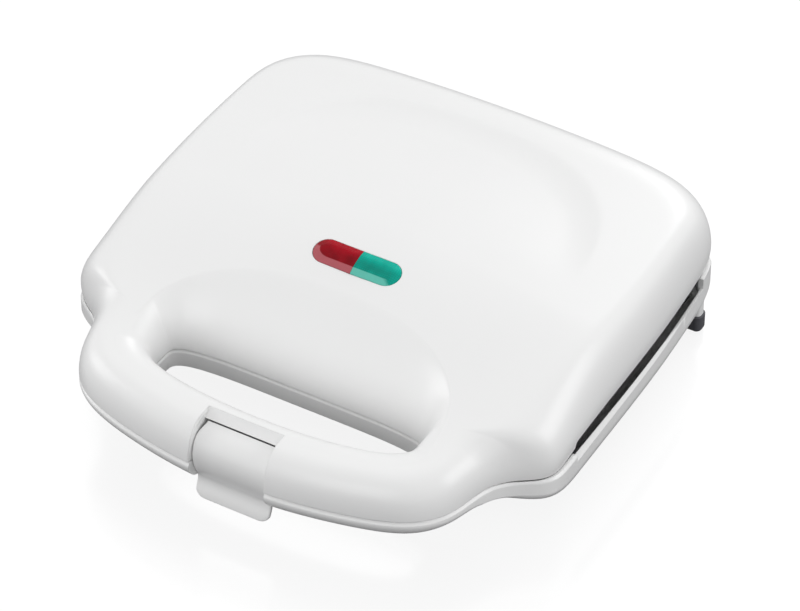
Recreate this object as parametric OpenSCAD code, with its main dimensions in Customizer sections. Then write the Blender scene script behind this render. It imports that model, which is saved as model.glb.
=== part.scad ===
// Sandwich toaster: a two-slice press with a hinged lid, a loop handle and a swinging latch.
// Millimetres, +Z up. Z = 0 is the table, X = 0 the middle, -Y the handle side.
// The modules draw in the plan frame: y = 0 at the handle front, z = 0 at the parting plane
// between lid and base. place() brings them to the table frame.

/* [Body] */
// Width across the two body sides
body_w = 237.6; // [231:0.2:245]
// Depth from the handle front to the rear edge
body_d = 244; // [240:1:250]
// Height of the parting plane above the table
base_h = 35; // [33.5:0.5:40]
// Height of the lid crown above the parting plane
crown_h = 42.5; // [41:0.1:46]
// Drop of the crown from the middle to 84 mm beside it
crown_drop = 3.25; // [2.5:0.05:4]
// Plan width of the rounding along the lid sides
lid_round = 28; // [26:1:32]
// Wall of both housings
wall = 2.6; // [2.2:0.1:3]
// Gap between the two housings at the parting plane
parting_gap = 0.6; // [0.4:0.1:1]
// How far the lid's parting edge lies inside its widest line, at the sides
side_swell = 3.1; // [2.4:0.1:3.6]
// Depth from the parting plane to the tub bottom
tub_depth = 27; // [26.5:0.5:28]
// Height of the upright rim of the base
rim_h = 9; // [8:0.5:10]

/* [Handle] */
// Width of the handle at its widest
handle_w = 188; // [183:1:193]
// Width at the waist between handle and body
waist_w = 194; // [190:1:200]
// Distance of the waist from the handle front
waist_y = 52; // [50:0.5:55]
// Crest of the handle above the parting plane
handle_top = 19; // [18:0.2:21]
// Underside of the handle below the parting plane
handle_under = 11; // [10.5:0.1:12]
// Width of the handle bar at the middle
bar_w = 31; // [30:0.5:32]
// Width of the grip opening
grip_w = 126; // [116:1:130]
// Depth of the grip opening
grip_d = 31.5; // [28:0.5:33]
// Sweep of the opening's front edge at its ends
grip_sweep = 7; // [5:0.5:9]
// Width of the scoop behind the opening, at its rim
scoop_w = 148; // [144:1:154]
// Run of the scoop wall from the opening's rear edge to its rim
scoop_run = 31.5; // [29:0.5:33]

/* [Hinge] */
// Distance of the hinge axis from the rear edge
hinge_inset = 9; // [8.5:0.5:10]
// Height of the hinge axis above the parting plane
hinge_z = 11; // [10.5:0.5:12]
// Distance of each hinge from the middle
hinge_x = 72; // [60:1:74]
// Diameter of the hinge pins
hinge_pin_d = 4; // [3:0.5:5]
// Radius of the hinge eyes
hinge_eye_r = 6; // [5.5:0.5:6.5]
// Thickness of a hinge ear on the base
ear_t = 4.5; // [3.5:0.5:5]
// Width of the lid knuckle
knuckle_w = 11; // [9:0.5:13]
// Clearance between the moving faces of a hinge
run_gap = 0.25; // [0.15:0.05:0.35]
// Clearance of a turning pin, all round
pin_gap = 0.08; // [0.05:0.01:0.1]
// Distance of the base's rear rim under the parting plane
rear_drop = 2.5; // [2.5:0.1:3.5]

/* [Latch] */
// Width of the latch
latch_w = 35.6; // [32:0.2:40]
// Gap at each side of the latch
latch_gap = 0.5; // [0.4:0.1:1]
// Thickness of the latch cover
latch_t = 2.4; // [2:0.1:2.8]
// Distance of the latch pin from the handle front
latch_pin_y = 12; // [11.5:0.5:12.5]
// Height of the latch pin above the parting plane
latch_pin_z = 7.5; // [7:0.25:8]
// Diameter of the latch pin
latch_pin_d = 3; // [2.5:0.25:3.5]
// Distance of the latch slot's rear wall from the handle front
slot_y = 20.7; // [20.5:0.1:22]
// How far the latch's lower lip hangs below the parting plane
latch_reach = 20; // [19:0.5:22]

/* [Plates] */
// Distance of a plate's side edges from the body sides
plate_side = 7.8; // [7.4:0.1:9]
// Distance of a plate's front edge from the handle front
plate_y = 74; // [73.5:0.5:75]
// Distance of a plate's rear edge from the rear of the body
plate_back = 30; // [29.5:0.5:32]
// Corner radius of a plate
plate_r = 12; // [10:1:14]
// Flange thickness of a plate
plate_t = 3.4; // [3:0.2:4]
// Gap between the closed plates
plate_gap = 0.8; // [0.6:0.1:1.2]
// Depth of a sandwich pocket
pocket_h = 10; // [8:0.5:10]
// Width of the plate's edge beside a slice
slice_side = 6.5; // [6:0.5:8]
// Width of the plate's edge before and behind a slice
slice_end = 13; // [12:0.5:15]
// Width of the sealing ridge between pockets
ridge_w = 5; // [4:0.5:7]
// Metal under a pocket
pocket_wall = 3; // [2.5:0.25:3.5]

/* [Heating] */
// Diameter of the tubular elements
element_d = 6.5; // [6:0.25:7]
// Bend radius of an element
element_r = 26; // [24:1:28]
// Distance of an element's long run beyond the middle of a slice
element_out = 22; // [19:1:25]
// Thickness of the reflector sheet
sheet_t = 0.8; // [0.6:0.1:1]
// Thickness of the element clamps
clamp_t = 0.8; // [0.6:0.1:1]
// Clearance between the clamps and the reflector
sheet_gap = 0.4; // [0.3:0.1:0.7]

/* [Lamps] */
// Length of the two lenses together
lens_w = 42; // [38:0.5:46]
// Depth of a lens
lens_d = 12.6; // [11:0.2:14]
// Distance of the lenses from the handle front
lens_y = 108; // [107:0.5:112]
// Height of the lens middle above the parting plane
lens_z = 38.6; // [38.4:0.1:39]
// Forward slope of the lenses
lens_tilt = 15; // [13:0.5:17]
// Gap between a lens and its window
lens_gap = 0.15; // [0.1:0.05:0.3]

/* [Feet and cord inlet] */
// Diameter of a front foot
foot_d = 15; // [12:0.5:18]
// Distance of the front feet from the middle
foot_x = 80; // [74:1:84]
// Distance of the front feet from the handle front
foot_y = 104; // [102:1:112]
// Width of a rear leg
leg_w = 9; // [8.4:0.2:9.6]
// Depth of a rear leg
leg_d = 5.8; // [5.4:0.2:7]
// Distance of the rear legs from the body sides
leg_side = 13; // [13:0.5:16]
// Distance of the rear legs from the rear edge
leg_inset = 24.7; // [24:0.1:28]
// Rubber under the end of a rear leg
foot_sole = 4; // [3:0.5:4.5]
// Bore of the cord grommet
cord_bore = 7; // [6:0.25:7.5]
// Outer diameter of the cord grommet
grommet_d = 13; // [12:0.5:14]
// Depth of the cord inlet under the parting plane
inlet_z = 12.5; // [12:0.5:13.5]

/* [Detail] */
// Outline points for each control span
span_steps = 2; // [2:1:3]
// Rows along the rounded side of the lid
side_rows = 6; // [5:1:8]

/* [Hidden] */
$fn = 48;

// Finishes
white = [0.94, 0.94, 0.93];
coated = [0.07, 0.07, 0.07];
steel = [0.72, 0.72, 0.73];
bright = [0.82, 0.82, 0.84];
rubber = [0.2, 0.2, 0.21];
glass_sleeve = [0.93, 0.91, 0.85];

// A small overlap for cuts that run out of a face
over = 0.02;
// Clearance of a screw in its hole
screw_gap = 0.2;
// Half of the parting gap, on each side of the parting plane
half_gap = parting_gap / 2;

// ---- Plain helpers ----

function mix(a, b, u) = a + (b - a) * u;
function clamp(u) = max(0, min(1, u));
function ease(u) = let (v = clamp(u)) v * v * (3 - 2 * v);
function bend(c, p) = sign(c) * pow(abs(c), p);

// A point of the closed cubic B-spline through a ring of control points
function spline(p, i, f) =
  let (n = len(p), a = p[(i + n - 1) % n], b = p[i % n], c = p[(i + 1) % n], d = p[(i + 2) % n])
  (a * pow(1 - f, 3) + b * (4 - 6 * f * f + 3 * f * f * f)
    + c * (1 + 3 * f + 3 * f * f - 3 * f * f * f) + d * f * f * f) / 6;

// Brings a piece from the plan frame to the table frame
module place() {
  translate([0, -body_d / 2, base_h]) children();
}

// One child and its mirror image across the middle
module both_sides() {
  children();
  mirror([1, 0, 0]) children();
}

// A block given by its lowest and highest corner
module block(low, high) {
  translate(low) cube(high - low);
}

// A flat plate with round corners, its lowest corner at the origin
module round_plate(w, d, r, h) {
  linear_extrude(h) {
    translate([r, 0]) square([w - 2 * r, d]);
    translate([0, r]) square([w, d - 2 * r]);
    for (x = [r, w - r], y = [r, d - r]) translate([x, y]) circle(r);
  }
}

// A rod along X, centred on the given point
module rod_x(r, w) {
  rotate([0, 90, 0]) cylinder(r = r, h = w, center = true);
}

// A screw with a domed head on z = 0 and its shank downwards
module screw(head_r, head_h, shank_r, len) {
  cylinder(r = head_r, h = head_h);
  translate([0, 0, -len]) cylinder(r = shank_r, h = len + over);
}

// ---- Plan outline ----

half_body = body_w / 2;
half_handle = handle_w / 2;
half_waist = waist_w / 2;
grip_y = bar_w + grip_d / 2;
shoulder_y = waist_y + 16;
front_dip = 0.5;
rear_bow = 0.8;
side_draw = [0.3, 0.8, 3.15, 5.3, 24.5, 62];

// Control points of the right half, from the handle front round to the rear edge
outline_half = [
  [0, -front_dip],
  [half_handle - 66, 1],
  [half_handle - 37.5, 6.5],
  [half_handle - 15, 14],
  [half_handle - 3.5, 26],
  [half_handle, waist_y - 13],
  [half_waist, waist_y],
  [half_waist + 8.5, waist_y + 8.5],
  [half_body + 0.4, shoulder_y],
  [half_body, shoulder_y + 15],
  [half_body - side_draw[0], mix(shoulder_y, body_d, 0.32)],
  [half_body - side_draw[1], mix(shoulder_y, body_d, 0.57)],
  [half_body - side_draw[2], body_d - 43],
  [half_body - side_draw[3], body_d - 17.6],
  [half_body - side_draw[4], body_d - 1.5],
  [half_body - side_draw[5], body_d],
  [0, body_d + rear_bow / 2]
];
outline_ring = concat(
  outline_half,
  [for (i = [len(outline_half) - 2:-1:1]) [-outline_half[i][0], outline_half[i][1]]]
);
outline = [
  for (i = [0:len(outline_ring) - 1], j = [0:span_steps - 1])
    spline(outline_ring, i, j / span_steps)
];

// Angle round the grip opening that belongs to a point of the outline
function grip_angle(o) = let (dy = o[1] - grip_y)
  atan2(dy / (dy < 0 ? grip_y : body_d - grip_y), o[0] / half_body);

// Edge of the grip opening: a squarish oval whose front side sweeps back at its ends
grip_square = 0.42;
function grip_edge(o) =
  let (
    a = grip_angle(o),
    x = grip_w / 2 * bend(cos(a), grip_square),
    y = grip_d / 2 * bend(sin(a), grip_square),
    front = clamp(0.5 - y / grip_d)
  )
  [x, grip_y + y + grip_sweep * front * pow(2 * x / grip_w, 2)];

// Crest line: the scoop rim behind the opening, the middle of the bar in front of it
function crest(o) =
  let (
    a = grip_angle(o),
    h = grip_edge(o),
    rim = [scoop_w / 2 * bend(cos(a), 0.9), grip_y + (grip_d / 2 + scoop_run) * bend(sin(a), 0.9)]
  )
  mix(mix(o, h, 0.5), rim, ease((a > 90 ? 180 - a + 30 : a < -90 ? -150 - a : a + 30) / 36));

// ---- Heights over the parting plane ----

ramp_y = 32;
ramp_len = 103;
drop_x = 84;
shoulder_rise = 0.1;

// 0 on the handle, 1 on the body; the shoulders rise a little earlier than the middle
function body_share(p) = ease((p[1] + shoulder_rise * abs(p[0]) - ramp_y) / ramp_len);

function crown(p) = let (s = body_share(p))
  handle_top + (crown_h - handle_top) * s - crown_drop * s * pow(p[0] / drop_x, 2);

// Roundness exponents: higher is squarer
side_power = 2.52;
bar_power = 2.2;
scoop_fall = 1.35;
scoop_drop = 1.6;
swell_span = 0.4;
wall_rows = 5;
crown_rows = 6;
floor_steps = 3;

// Section of the lid skin on the ray of outline point o, moved inwards by t:
// up the side, over the crest and down to the opening
function lid_skin(o, t, rows, down_rows) =
  let (
    h0 = grip_edge(o),
    k = crest(o),
    out = (k - o) / norm(k - o),
    back = (k - h0) / norm(k - h0),
    e = o + out * t,
    h = h0 + back * t,
    run = norm(k - e),
    r = min(0.8 * run, lid_round - t),
    s = body_share(k),
    p = mix(bar_power, side_power, clamp(s * 2.5)),
    swell = side_swell * body_share(o) * o[0] / half_body,
    pocket = clamp(s * 4),
    fall = mix(bar_power, scoop_fall, pocket),
    drop = mix(bar_power, scoop_drop, pocket),
    top = crown(k) - t
  )
  concat(
    [for (i = [0:rows])
      let (
        a = 90 * i / rows,
        q = e + out * r * (1 - pow(cos(a), 2 / p)),
        lift = pow(sin(a), 2 / p)
      )
      [q[0] - swell * pow(1 - min(lift / swell_span, 1), 2), q[1], max(half_gap, (crown(q) - t) * lift)]],
    [for (i = [1:crown_rows]) let (q = e + out * mix(r, run, i / crown_rows))
      [q[0], q[1], crown(q) - t]],
    [for (i = [1:down_rows])
      let (
        a = 90 * i / down_rows,
        q = mix(k, h, pow(sin(a), 2 / fall))
      )
      [q[0], q[1], max(half_gap, top * pow(cos(a), 2 / drop))]]
  );

// ---- Depths under the parting plane ----

edge_round = 30;
edge_power = 1.6;
bar_rim_h = 3.5;
floor_rows = 4;
under_ramp_y = 56;
under_ramp = 34;

function under(p) = mix(handle_under, tub_depth, ease((p[1] - under_ramp_y) / under_ramp));

// Section of the base skin on the ray of outline point o, moved inwards by t
function base_skin(o, t) =
  let (
    h0 = grip_edge(o),
    k = crest(o),
    out = (k - o) / norm(k - o),
    back = (k - h0) / norm(k - h0),
    e = o + out * t,
    h = h0 + back * t,
    run = norm(k - e),
    run_h = norm(k - h),
    s = body_share(k),
    r = min(0.8 * run, mix(8, edge_round, clamp(2 * s))),
    r_h = 0.9 * run_h,
    upright = mix(bar_rim_h, rim_h, clamp(4.5 * s)) - t,
    upright_h = handle_under - 2 - t
  )
  concat(
    [[e[0], e[1], -half_gap]],
    [for (i = [0:floor_rows])
      let (
        a = 90 * i / floor_rows,
        q = e + out * r * (1 - pow(cos(a), 2 / edge_power))
      )
      [q[0], q[1], -mix(upright, under(q) - t, pow(sin(a), 2 / edge_power))]],
    [for (i = [1:floor_steps]) let (q = e + out * mix(r, run, i / floor_steps))
      [q[0], q[1], t - under(q)]],
    [for (i = [floor_rows:-1:0])
      let (
        a = 90 * i / floor_rows,
        q = h + back * r_h * (1 - pow(cos(a), 2 / edge_power))
      )
      [q[0], q[1], -mix(upright_h, under(q) - t, pow(sin(a), 2 / edge_power))]],
    [[h[0], h[1], -half_gap]]
  );

// Closed ring solid: each section is a closed loop, and the sections close round the opening
module ring_solid(sections) {
  ns = len(sections);
  nt = len(sections[0]);
  polyhedron(
    points = [for (s = sections) each s],
    faces = [
      for (i = [0:ns - 1], j = [0:nt - 1])
        let (
          a = i * nt + j,
          b = i * nt + (j + 1) % nt,
          c = ((i + 1) % ns) * nt + (j + 1) % nt,
          d = ((i + 1) % ns) * nt + j
        )
        each [[a, b, c], [a, c, d]]
    ],
    convexity = 8
  );
}

function reversed(l) = [for (i = [len(l) - 1:-1:0]) l[i]];

// ---- Levels on each side of the parting plane ----

flange_back = plate_gap / 2 + plate_t;
boss_back = flange_back + 3;
tub_back = plate_gap / 2 + pocket_h + pocket_wall;
element_mid = tub_back + element_d / 2;
sheet_face = tub_back + element_d + clamp_t + sheet_gap;
sheet_back = sheet_face + sheet_t;

// Draws its children, made for the lid side, on the base side
module below() {
  mirror([0, 0, 1]) children();
}

// ---- Plate and slice sizes ----

plate_w = body_w - 2 * plate_side;
plate_d = body_d - plate_y - plate_back;
plate_rear = plate_y + plate_d;
slice_w = (plate_w - 2 * slice_side - ridge_w) / 2;
slice_d = plate_d - 2 * slice_end;
slice_mid = (slice_w + ridge_w) / 2 + 0.5;
slice_y = plate_y + slice_end;
slice_rear = slice_y + slice_d;
element_x = slice_mid + element_out;

// ---- Screw places ----

plate_screw_in = slice_end / 2;
plate_screw_x = element_x - 10;
boss_r = 4.5;
plate_screw_deep = 7;
tray_screw_x = element_x - 20;
tray_screw_in = 22;
tray_post_r = 3.6;
tray_w = plate_w - 48;
tray_y = plate_y + 21;
tray_d = plate_d - 33;

plate_spots = [
  for (x = [-plate_screw_x, plate_screw_x], y = [plate_y + plate_screw_in, plate_rear - plate_screw_in])
    [x, y]
];
tray_spots = [
  for (x = [-tray_screw_x, tray_screw_x], y = [tray_y + tray_screw_in, tray_y + tray_d - tray_screw_in])
    [x, y]
];

module at(spots) {
  for (s = spots) translate(s) children();
}

// ---- Baking plates ----

tub_grow = 1;
tub_r = 10;
pocket_top_r = 9;
pocket_floor_r = 5;

// One three-cornered pocket: corners a, b, c of its triangle, drawn in by half a ridge
module pocket(a, b, c) {
  la = norm(b - c);
  lb = norm(a - c);
  lc = norm(a - b);
  middle = (a * la + b * lb + c * lc) / (la + lb + lc);
  side = b - a;
  other = c - a;
  in_r = abs(side[0] * other[1] - side[1] * other[0]) / (la + lb + lc);
  hull() for (v = [a, b, c])
    translate(mix(v, middle, (pocket_top_r + ridge_w / 2) / in_r))
      cylinder(r1 = pocket_top_r, r2 = pocket_floor_r, h = pocket_h, $fn = 24);
}

screw_head_r = 3.2;
screw_head_h = 1.6;
screw_shank_r = 1.6;
small_head_r = 2.4;
small_head_h = 1.2;
wide_head_r = 2.8;
recess = 2;

// A plate as the lid carries it: face down, tubs up
module baking_plate() {
  difference() {
    union() {
      translate([-plate_w / 2, plate_y, plate_gap / 2]) round_plate(plate_w, plate_d, plate_r, plate_t);
      for (x = [-slice_mid, slice_mid])
        translate([x - slice_w / 2 - tub_grow, slice_y - tub_grow, plate_gap / 2])
          round_plate(slice_w + 2 * tub_grow, slice_d + 2 * tub_grow, tub_r, pocket_h + pocket_wall);
      at(plate_spots) translate([0, 0, plate_gap / 2]) cylinder(r = boss_r, h = boss_back - plate_gap / 2);
    }
    both_sides() {
      x1 = slice_mid - slice_w / 2;
      x2 = slice_mid + slice_w / 2;
      translate([0, 0, plate_gap / 2 - over]) {
        pocket([x1, slice_y], [x2, slice_y], [x1, slice_rear]);
        pocket([x2, slice_rear], [x1, slice_rear], [x2, slice_y]);
      }
    }
    at(plate_spots) {
      cylinder(r = screw_shank_r + screw_gap, h = 3 * boss_back, center = true);
      translate([0, 0, plate_gap / 2 - over]) cylinder(r = screw_head_r + screw_gap, h = recess + over);
    }
  }
}

module plate_screws() {
  at(plate_spots) translate([0, 0, plate_gap / 2 + recess]) mirror([0, 0, 1])
    screw(screw_head_r, screw_head_h, screw_shank_r, boss_back + plate_screw_deep - recess - plate_gap / 2);
}

// ---- Heating elements ----

element_front = slice_y + 12.8;
element_rear = plate_rear;
pin_r = 1.2;
pin_len = 8;

module element() {
  r = element_d / 2;
  translate([0, 0, element_mid]) {
    both_sides() {
      translate([element_x, element_front + element_r, 0]) rotate([-90, 0, 0])
        cylinder(r = r, h = element_rear - element_front - element_r);
      translate([element_x - element_r, element_front + element_r, 0]) rotate([0, 0, -90])
        rotate_extrude(angle = 90) translate([element_r, 0]) circle(r);
      translate([element_x, element_rear - over, 0]) rotate([-90, 0, 0]) cylinder(r = pin_r, h = pin_len);
    }
    translate([0, element_front, 0]) rod_x(r, 2 * (element_x - element_r) + over);
  }
}

clamp_w = 10;
clamp_tab = 7;
rivet_r = 1.5;
rivet_h = 0.8;
clamp_spots = [for (x = [-element_x, element_x], y = [slice_y + 47, slice_rear - 15]) [x, y]];

// Sheet saddles over the long runs, each with two rivets
module element_clamps() {
  r = element_d / 2;
  tab_x = r + clamp_tab / 2 + 0.5;
  at(clamp_spots) {
    difference() {
      union() {
        translate([0, clamp_w / 2, element_mid]) rotate([90, 0, 0]) cylinder(r = r + clamp_t, h = clamp_w);
        block([-r - clamp_t, -clamp_w / 2, tub_back], [r + clamp_t, clamp_w / 2, element_mid]);
        translate([-r - clamp_tab, -clamp_w / 2, tub_back]) cube([2 * (r + clamp_tab), clamp_w, clamp_t]);
      }
      translate([0, clamp_w, element_mid]) rotate([90, 0, 0]) cylinder(r = r + over, h = 2 * clamp_w);
      block([-r - over, -clamp_w, 0], [r + over, clamp_w, element_mid]);
      block([-3 * r - clamp_tab, -clamp_w, 0], [3 * r + clamp_tab, clamp_w, tub_back]);
    }
    for (x = [-tab_x, tab_x]) translate([x, 0, tub_back + clamp_t - over])
      cylinder(r = 2 * rivet_r, h = rivet_h);
  }
}

tray_r = 8;
tray_rim = 5;
tray_slot = 5;

// Sheet tray between the element and the housing
module reflector() {
  difference() {
    translate([-tray_w / 2, tray_y, sheet_back - tray_rim]) round_plate(tray_w, tray_d, tray_r, tray_rim);
    translate([-tray_w / 2 + sheet_t, tray_y + sheet_t, sheet_face - tray_rim])
      round_plate(tray_w - 2 * sheet_t, tray_d - 2 * sheet_t, tray_r - sheet_t, tray_rim);
    for (x = [-element_x, element_x])
      translate([x - tray_slot, tray_y + tray_d - 2, 0]) cube([2 * tray_slot, 4, sheet_face]);
    at(tray_spots) translate([0, 0, sheet_face - 1]) cylinder(r = rivet_r + screw_gap, h = 4);
  }
}

tray_head_h = 0.9;
lid_tray_deep = 6;
base_tray_deep = tub_depth - 1.5 - sheet_back;
module tray_screws(deep) {
  at(tray_spots) translate([0, 0, sheet_face]) mirror([0, 0, 1])
    screw(wide_head_r, tray_head_h, rivet_r, sheet_t + deep);
}

// A post from its foot level up to its root in the shell
module post(r, foot, root) {
  translate([0, 0, foot]) cylinder(r = r, h = root - foot);
}

// The hole that a screw cuts for itself, from the foot of a post
module pilot(r, foot, deep) {
  translate([0, 0, foot - over]) cylinder(r = r, h = deep + over);
}

// How far a post's root sinks into the shell that carries it
root_in = 0.2 * wall;

// ---- Hinge ----

axis_y = body_d - hinge_inset;
ear_mid = knuckle_w / 2 + run_gap + ear_t / 2;
hinge_out = ear_mid + ear_t / 2;
slot_rise = 9.5;
web_t = 8;
link_x = -36;
link_half = 13;
rear_edge_z = 1;

module at_axis() {
  translate([0, axis_y, hinge_z]) children();
}

// Level of the rear faces at a distance in from the rear edge, over and under the parting plane
function rear_top(inset) = crown([hinge_x, body_d - lid_round])
  * pow(1 - pow(1 - inset / lid_round, side_power), 1 / side_power);
function rear_low(inset) =
  mix(rim_h, tub_depth, pow(1 - pow(1 - inset / edge_round, edge_power), 1 / edge_power));

module ear() {
  rod_x(hinge_eye_r, ear_t);
  block([-ear_t / 2, -hinge_eye_r, -hinge_z - rear_low(hinge_inset - hinge_eye_r) + wall / 2],
    [ear_t / 2, hinge_eye_r, 0]);
}

module hinge_ears() {
  at_axis() for (x = [-hinge_x, hinge_x], d = [-ear_mid, ear_mid]) translate([x + d, 0, 0]) ear();
}

module hinge_knuckles() {
  at_axis() for (x = [-hinge_x, hinge_x]) translate([x, 0, 0]) {
    rod_x(hinge_eye_r, knuckle_w);
    block([-knuckle_w / 2, -web_t / 2, 0],
      [knuckle_w / 2, web_t / 2, rear_top(hinge_inset - web_t / 2) - wall - hinge_z]);
  }
}

// Openings in the lid's rear wall for the ears and for the wire sleeve
module hinge_slots() {
  for (v = [[-hinge_x, hinge_out + 1], [hinge_x, hinge_out + 1], [link_x, link_half]])
    block([v[0] - v[1], axis_y - hinge_eye_r - 1, -1], [v[0] + v[1], body_d + 5, hinge_z + slot_rise]);
}

module hinge_pins() {
  color(steel) place() at_axis() for (x = [-hinge_x, hinge_x])
    translate([x, 0, 0]) rod_x(hinge_pin_d / 2, 2 * hinge_out);
}

// ---- Latch ----

slot_half = latch_w / 2 + latch_gap;
liner = 2.4;
catch_y = 9.9;
catch_out = 1.6;
catch_low = -6.9;
catch_high = -3.6;
hook_gap = 0.3;
cheek_x = 11.5;
cheek_t = 3;
cheek_r = 4;
hook_half = 12;
curve_steps = 4;

// Upper edge of the latch, as (y, z) from its pin
latch_top = [2.3, 7.1];

// Front line of the latch from its upper edge to the lip, as (y, z)
latch_knots = [
  [latch_pin_y + latch_top[0], latch_pin_z + latch_top[1]],
  [latch_pin_y - 1.5, latch_pin_z + 6.7],
  [latch_pin_y - 6.4, latch_pin_z + 3.9],
  [3, 6],
  [3, 0],
  [4.6, -6],
  [6.9, -handle_under + 1],
  [6.6, -handle_under - 2.5],
  [4.6, -latch_reach + 3],
  [4, -latch_reach]
];
latch_ends = concat([latch_knots[0], latch_knots[0]], latch_knots,
  [latch_knots[len(latch_knots) - 1], latch_knots[len(latch_knots) - 1]]);
latch_front = [
  for (i = [1:len(latch_ends) - 3], j = [0:curve_steps - 1]) spline(latch_ends, i, j / curve_steps)
];

function turned(v) = [-v[1], v[0]];
latch_back = [
  for (i = [0:len(latch_front) - 1])
    let (
      a = latch_front[max(0, i - 1)],
      b = latch_front[min(len(latch_front) - 1, i + 1)]
    )
    latch_front[i] + turned(b - a) / norm(b - a) * latch_t
];

// An outline in (y, z), drawn out along X to both sides of the middle
module along_x(points, w) {
  rotate([90, 0, 90]) translate([0, 0, -w / 2]) linear_extrude(w) polygon(points);
}

module latch() {
  color(white) place() difference() {
    union() {
      along_x(concat(latch_front, reversed(latch_back)), latch_w);
      for (x = [-cheek_x, cheek_x]) {
        translate([x, latch_pin_y, latch_pin_z]) rod_x(cheek_r, cheek_t);
        block([x - cheek_t / 2, 6, latch_pin_z - 3], [x + cheek_t / 2, latch_pin_y, latch_pin_z + 3]);
      }
      block([-hook_half, 6.2, catch_low - hook_gap - 2.4], [hook_half, catch_y - 0.5, catch_low - hook_gap]);
    }
    translate([0, latch_pin_y, latch_pin_z]) rod_x(latch_pin_d / 2 + pin_gap, latch_w + 2);
  }
}

module latch_pin() {
  color(steel) place() translate([0, latch_pin_y, latch_pin_z])
    rod_x(latch_pin_d / 2, 2 * (slot_half + liner) - 0.4);
}

// Hollow of the handle behind the latch's upper edge: a thin hood that the edge swings under
hood_r = norm(latch_top) + 0.35;
hood_front = latch_pin_y + latch_top[0] + 0.7;
hood_rear = hood_front + 3.4;
hood_low = latch_pin_z + latch_top[1] + 0.3;
hood_line = [for (i = [0:6]) let (u = i / 6)
  [mix(hood_front, hood_rear, u), mix(hood_low, handle_top - 0.2, pow(u, 1.4))]];
hood_under = [for (a = [asin((hood_front - latch_pin_y) / hood_r):11:80])
  [latch_pin_y + hood_r * sin(a), latch_pin_z + hood_r * cos(a)]];
module slot_hood() {
  along_x(concat(hood_line, [[hood_rear + wall / 2, handle_top - wall / 2],
    [slot_y + wall / 2, handle_top - wall - 0.6], [slot_y + wall / 2, latch_pin_z]], reversed(hood_under)),
    2 * slot_half + 0.1);
}

// Walls round the latch slot in the lid's half of the handle
module lid_slot_liner() {
  top = handle_top - 2.8;
  for (x = [-1, 1]) translate([x * (slot_half + liner / 2), 0, 0])
    along_x([[2.2, half_gap], [2.2, 6], [4, 10.5], [7, 14], [12, top],
      [slot_y + liner, top], [slot_y + liner, half_gap]], liner);
  block([-slot_half - liner, slot_y, half_gap], [slot_half + liner, slot_y + liner, top]);
}

// Walls round the latch slot in the base's half, with the catch for the hook
module base_slot_liner() {
  low = -handle_under + 0.2;
  for (x = [-1, 1]) translate([x * (slot_half + liner / 2), 0, 0])
    along_x([[2.4, -half_gap], [2.4, -4.5], [4, -7.5], [7, -9.6],
      [catch_y + liner, low], [catch_y + liner, -half_gap]], liner);
  block([-slot_half - liner, catch_y, low], [slot_half + liner, catch_y + liner, -half_gap]);
  along_x([[catch_y + 1, catch_low], [catch_y - catch_out, catch_low], [catch_y - catch_out, catch_low + 1],
    [catch_y + 1, catch_high]], 2 * hook_half + 2);
}

rib_t = 1.8;
rib_xs = [-46, -32, 32, 46];

// ---- Lamps, in a frame that lies in the lid's sloping face ----

module lamp_frame() {
  translate([0, lens_y, lens_z]) rotate([lens_tilt, 0, 0]) children();
}

// A bar with round ends, centred on the origin
module stadium(w, d, h) {
  linear_extrude(h) {
    square([w - d, d], center = true);
    for (x = [-1, 1]) translate([x * (w - d) / 2, 0]) circle(d = d);
  }
}

lens_rise = 0.9;
lens_flange = 2;
lens_flange_t = 1.4;
lens_seat = wall + 0.2;
lens_dome_r = 60;

// The left lens; the right one is its mirror image
module lens() {
  intersection() {
    lamp_frame() {
      intersection() {
        translate([0, 0, -lens_seat]) stadium(lens_w, lens_d, lens_seat + lens_rise);
        translate([0, 0, lens_rise - lens_dome_r]) rod_x(lens_dome_r, lens_w + 2, $fn = 96);
      }
      translate([0, 0, -lens_seat - lens_flange_t])
        stadium(lens_w + 2 * lens_flange, lens_d + 2 * lens_flange, lens_flange_t);
    }
    block([-lens_w, 0, 0], [-0.05, body_d, 2 * crown_h]);
  }
}

holder_w = 54;
holder_d = 21;
holder_top = -lens_seat - lens_flange_t - 0.1;
holder_low = -13.4;
holder_wall = 1.6;
holder_tab = 8;
holder_tab_t = 2;
holder_screw_x = holder_w / 2 + holder_tab / 2;
holder_tab_z = -7;
holder_screw_deep = 3.5;
holder_wires = -10;

module lamp_holder() {
  color([0.85, 0.85, 0.82]) place() lamp_frame() difference() {
    union() {
      block([-holder_w / 2, -holder_d / 2, holder_low], [holder_w / 2, holder_d / 2, holder_top]);
      block([-holder_w / 2 - holder_tab, -4, holder_tab_z - holder_tab_t],
        [holder_w / 2 + holder_tab, 4, holder_tab_z]);
    }
    both_sides() block([holder_wall / 2, -holder_d / 2 + holder_wall, holder_low + holder_wall],
      [holder_w / 2 - holder_wall, holder_d / 2 - holder_wall, holder_top + 1]);
    for (x = [-holder_screw_x, holder_screw_x]) translate([x, 0, holder_tab_z - 3])
      cylinder(r = rivet_r + screw_gap, h = 4);
    for (x = [-resistor_x, resistor_x]) translate([x, holder_d / 2, holder_wires])
      rotate([90, 0, 0]) cylinder(r = lead_r + 0.5, h = 6, center = true);
  }
}

module lamp_holder_screws() {
  color(steel) place() lamp_frame() for (x = [-holder_screw_x, holder_screw_x])
    translate([x, 0, holder_tab_z - holder_tab_t]) mirror([0, 0, 1])
      screw(wide_head_r, small_head_h, rivet_r, holder_tab_t + holder_screw_deep);
}

lamp_r = 2.6;
lamp_len = 14;
lamp_z = -8.6;
lamp_x = 13;
resistor_x = 9;
resistor_r = 1.5;
resistor_len = 7;
resistor_lead_r = 0.4;

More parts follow.
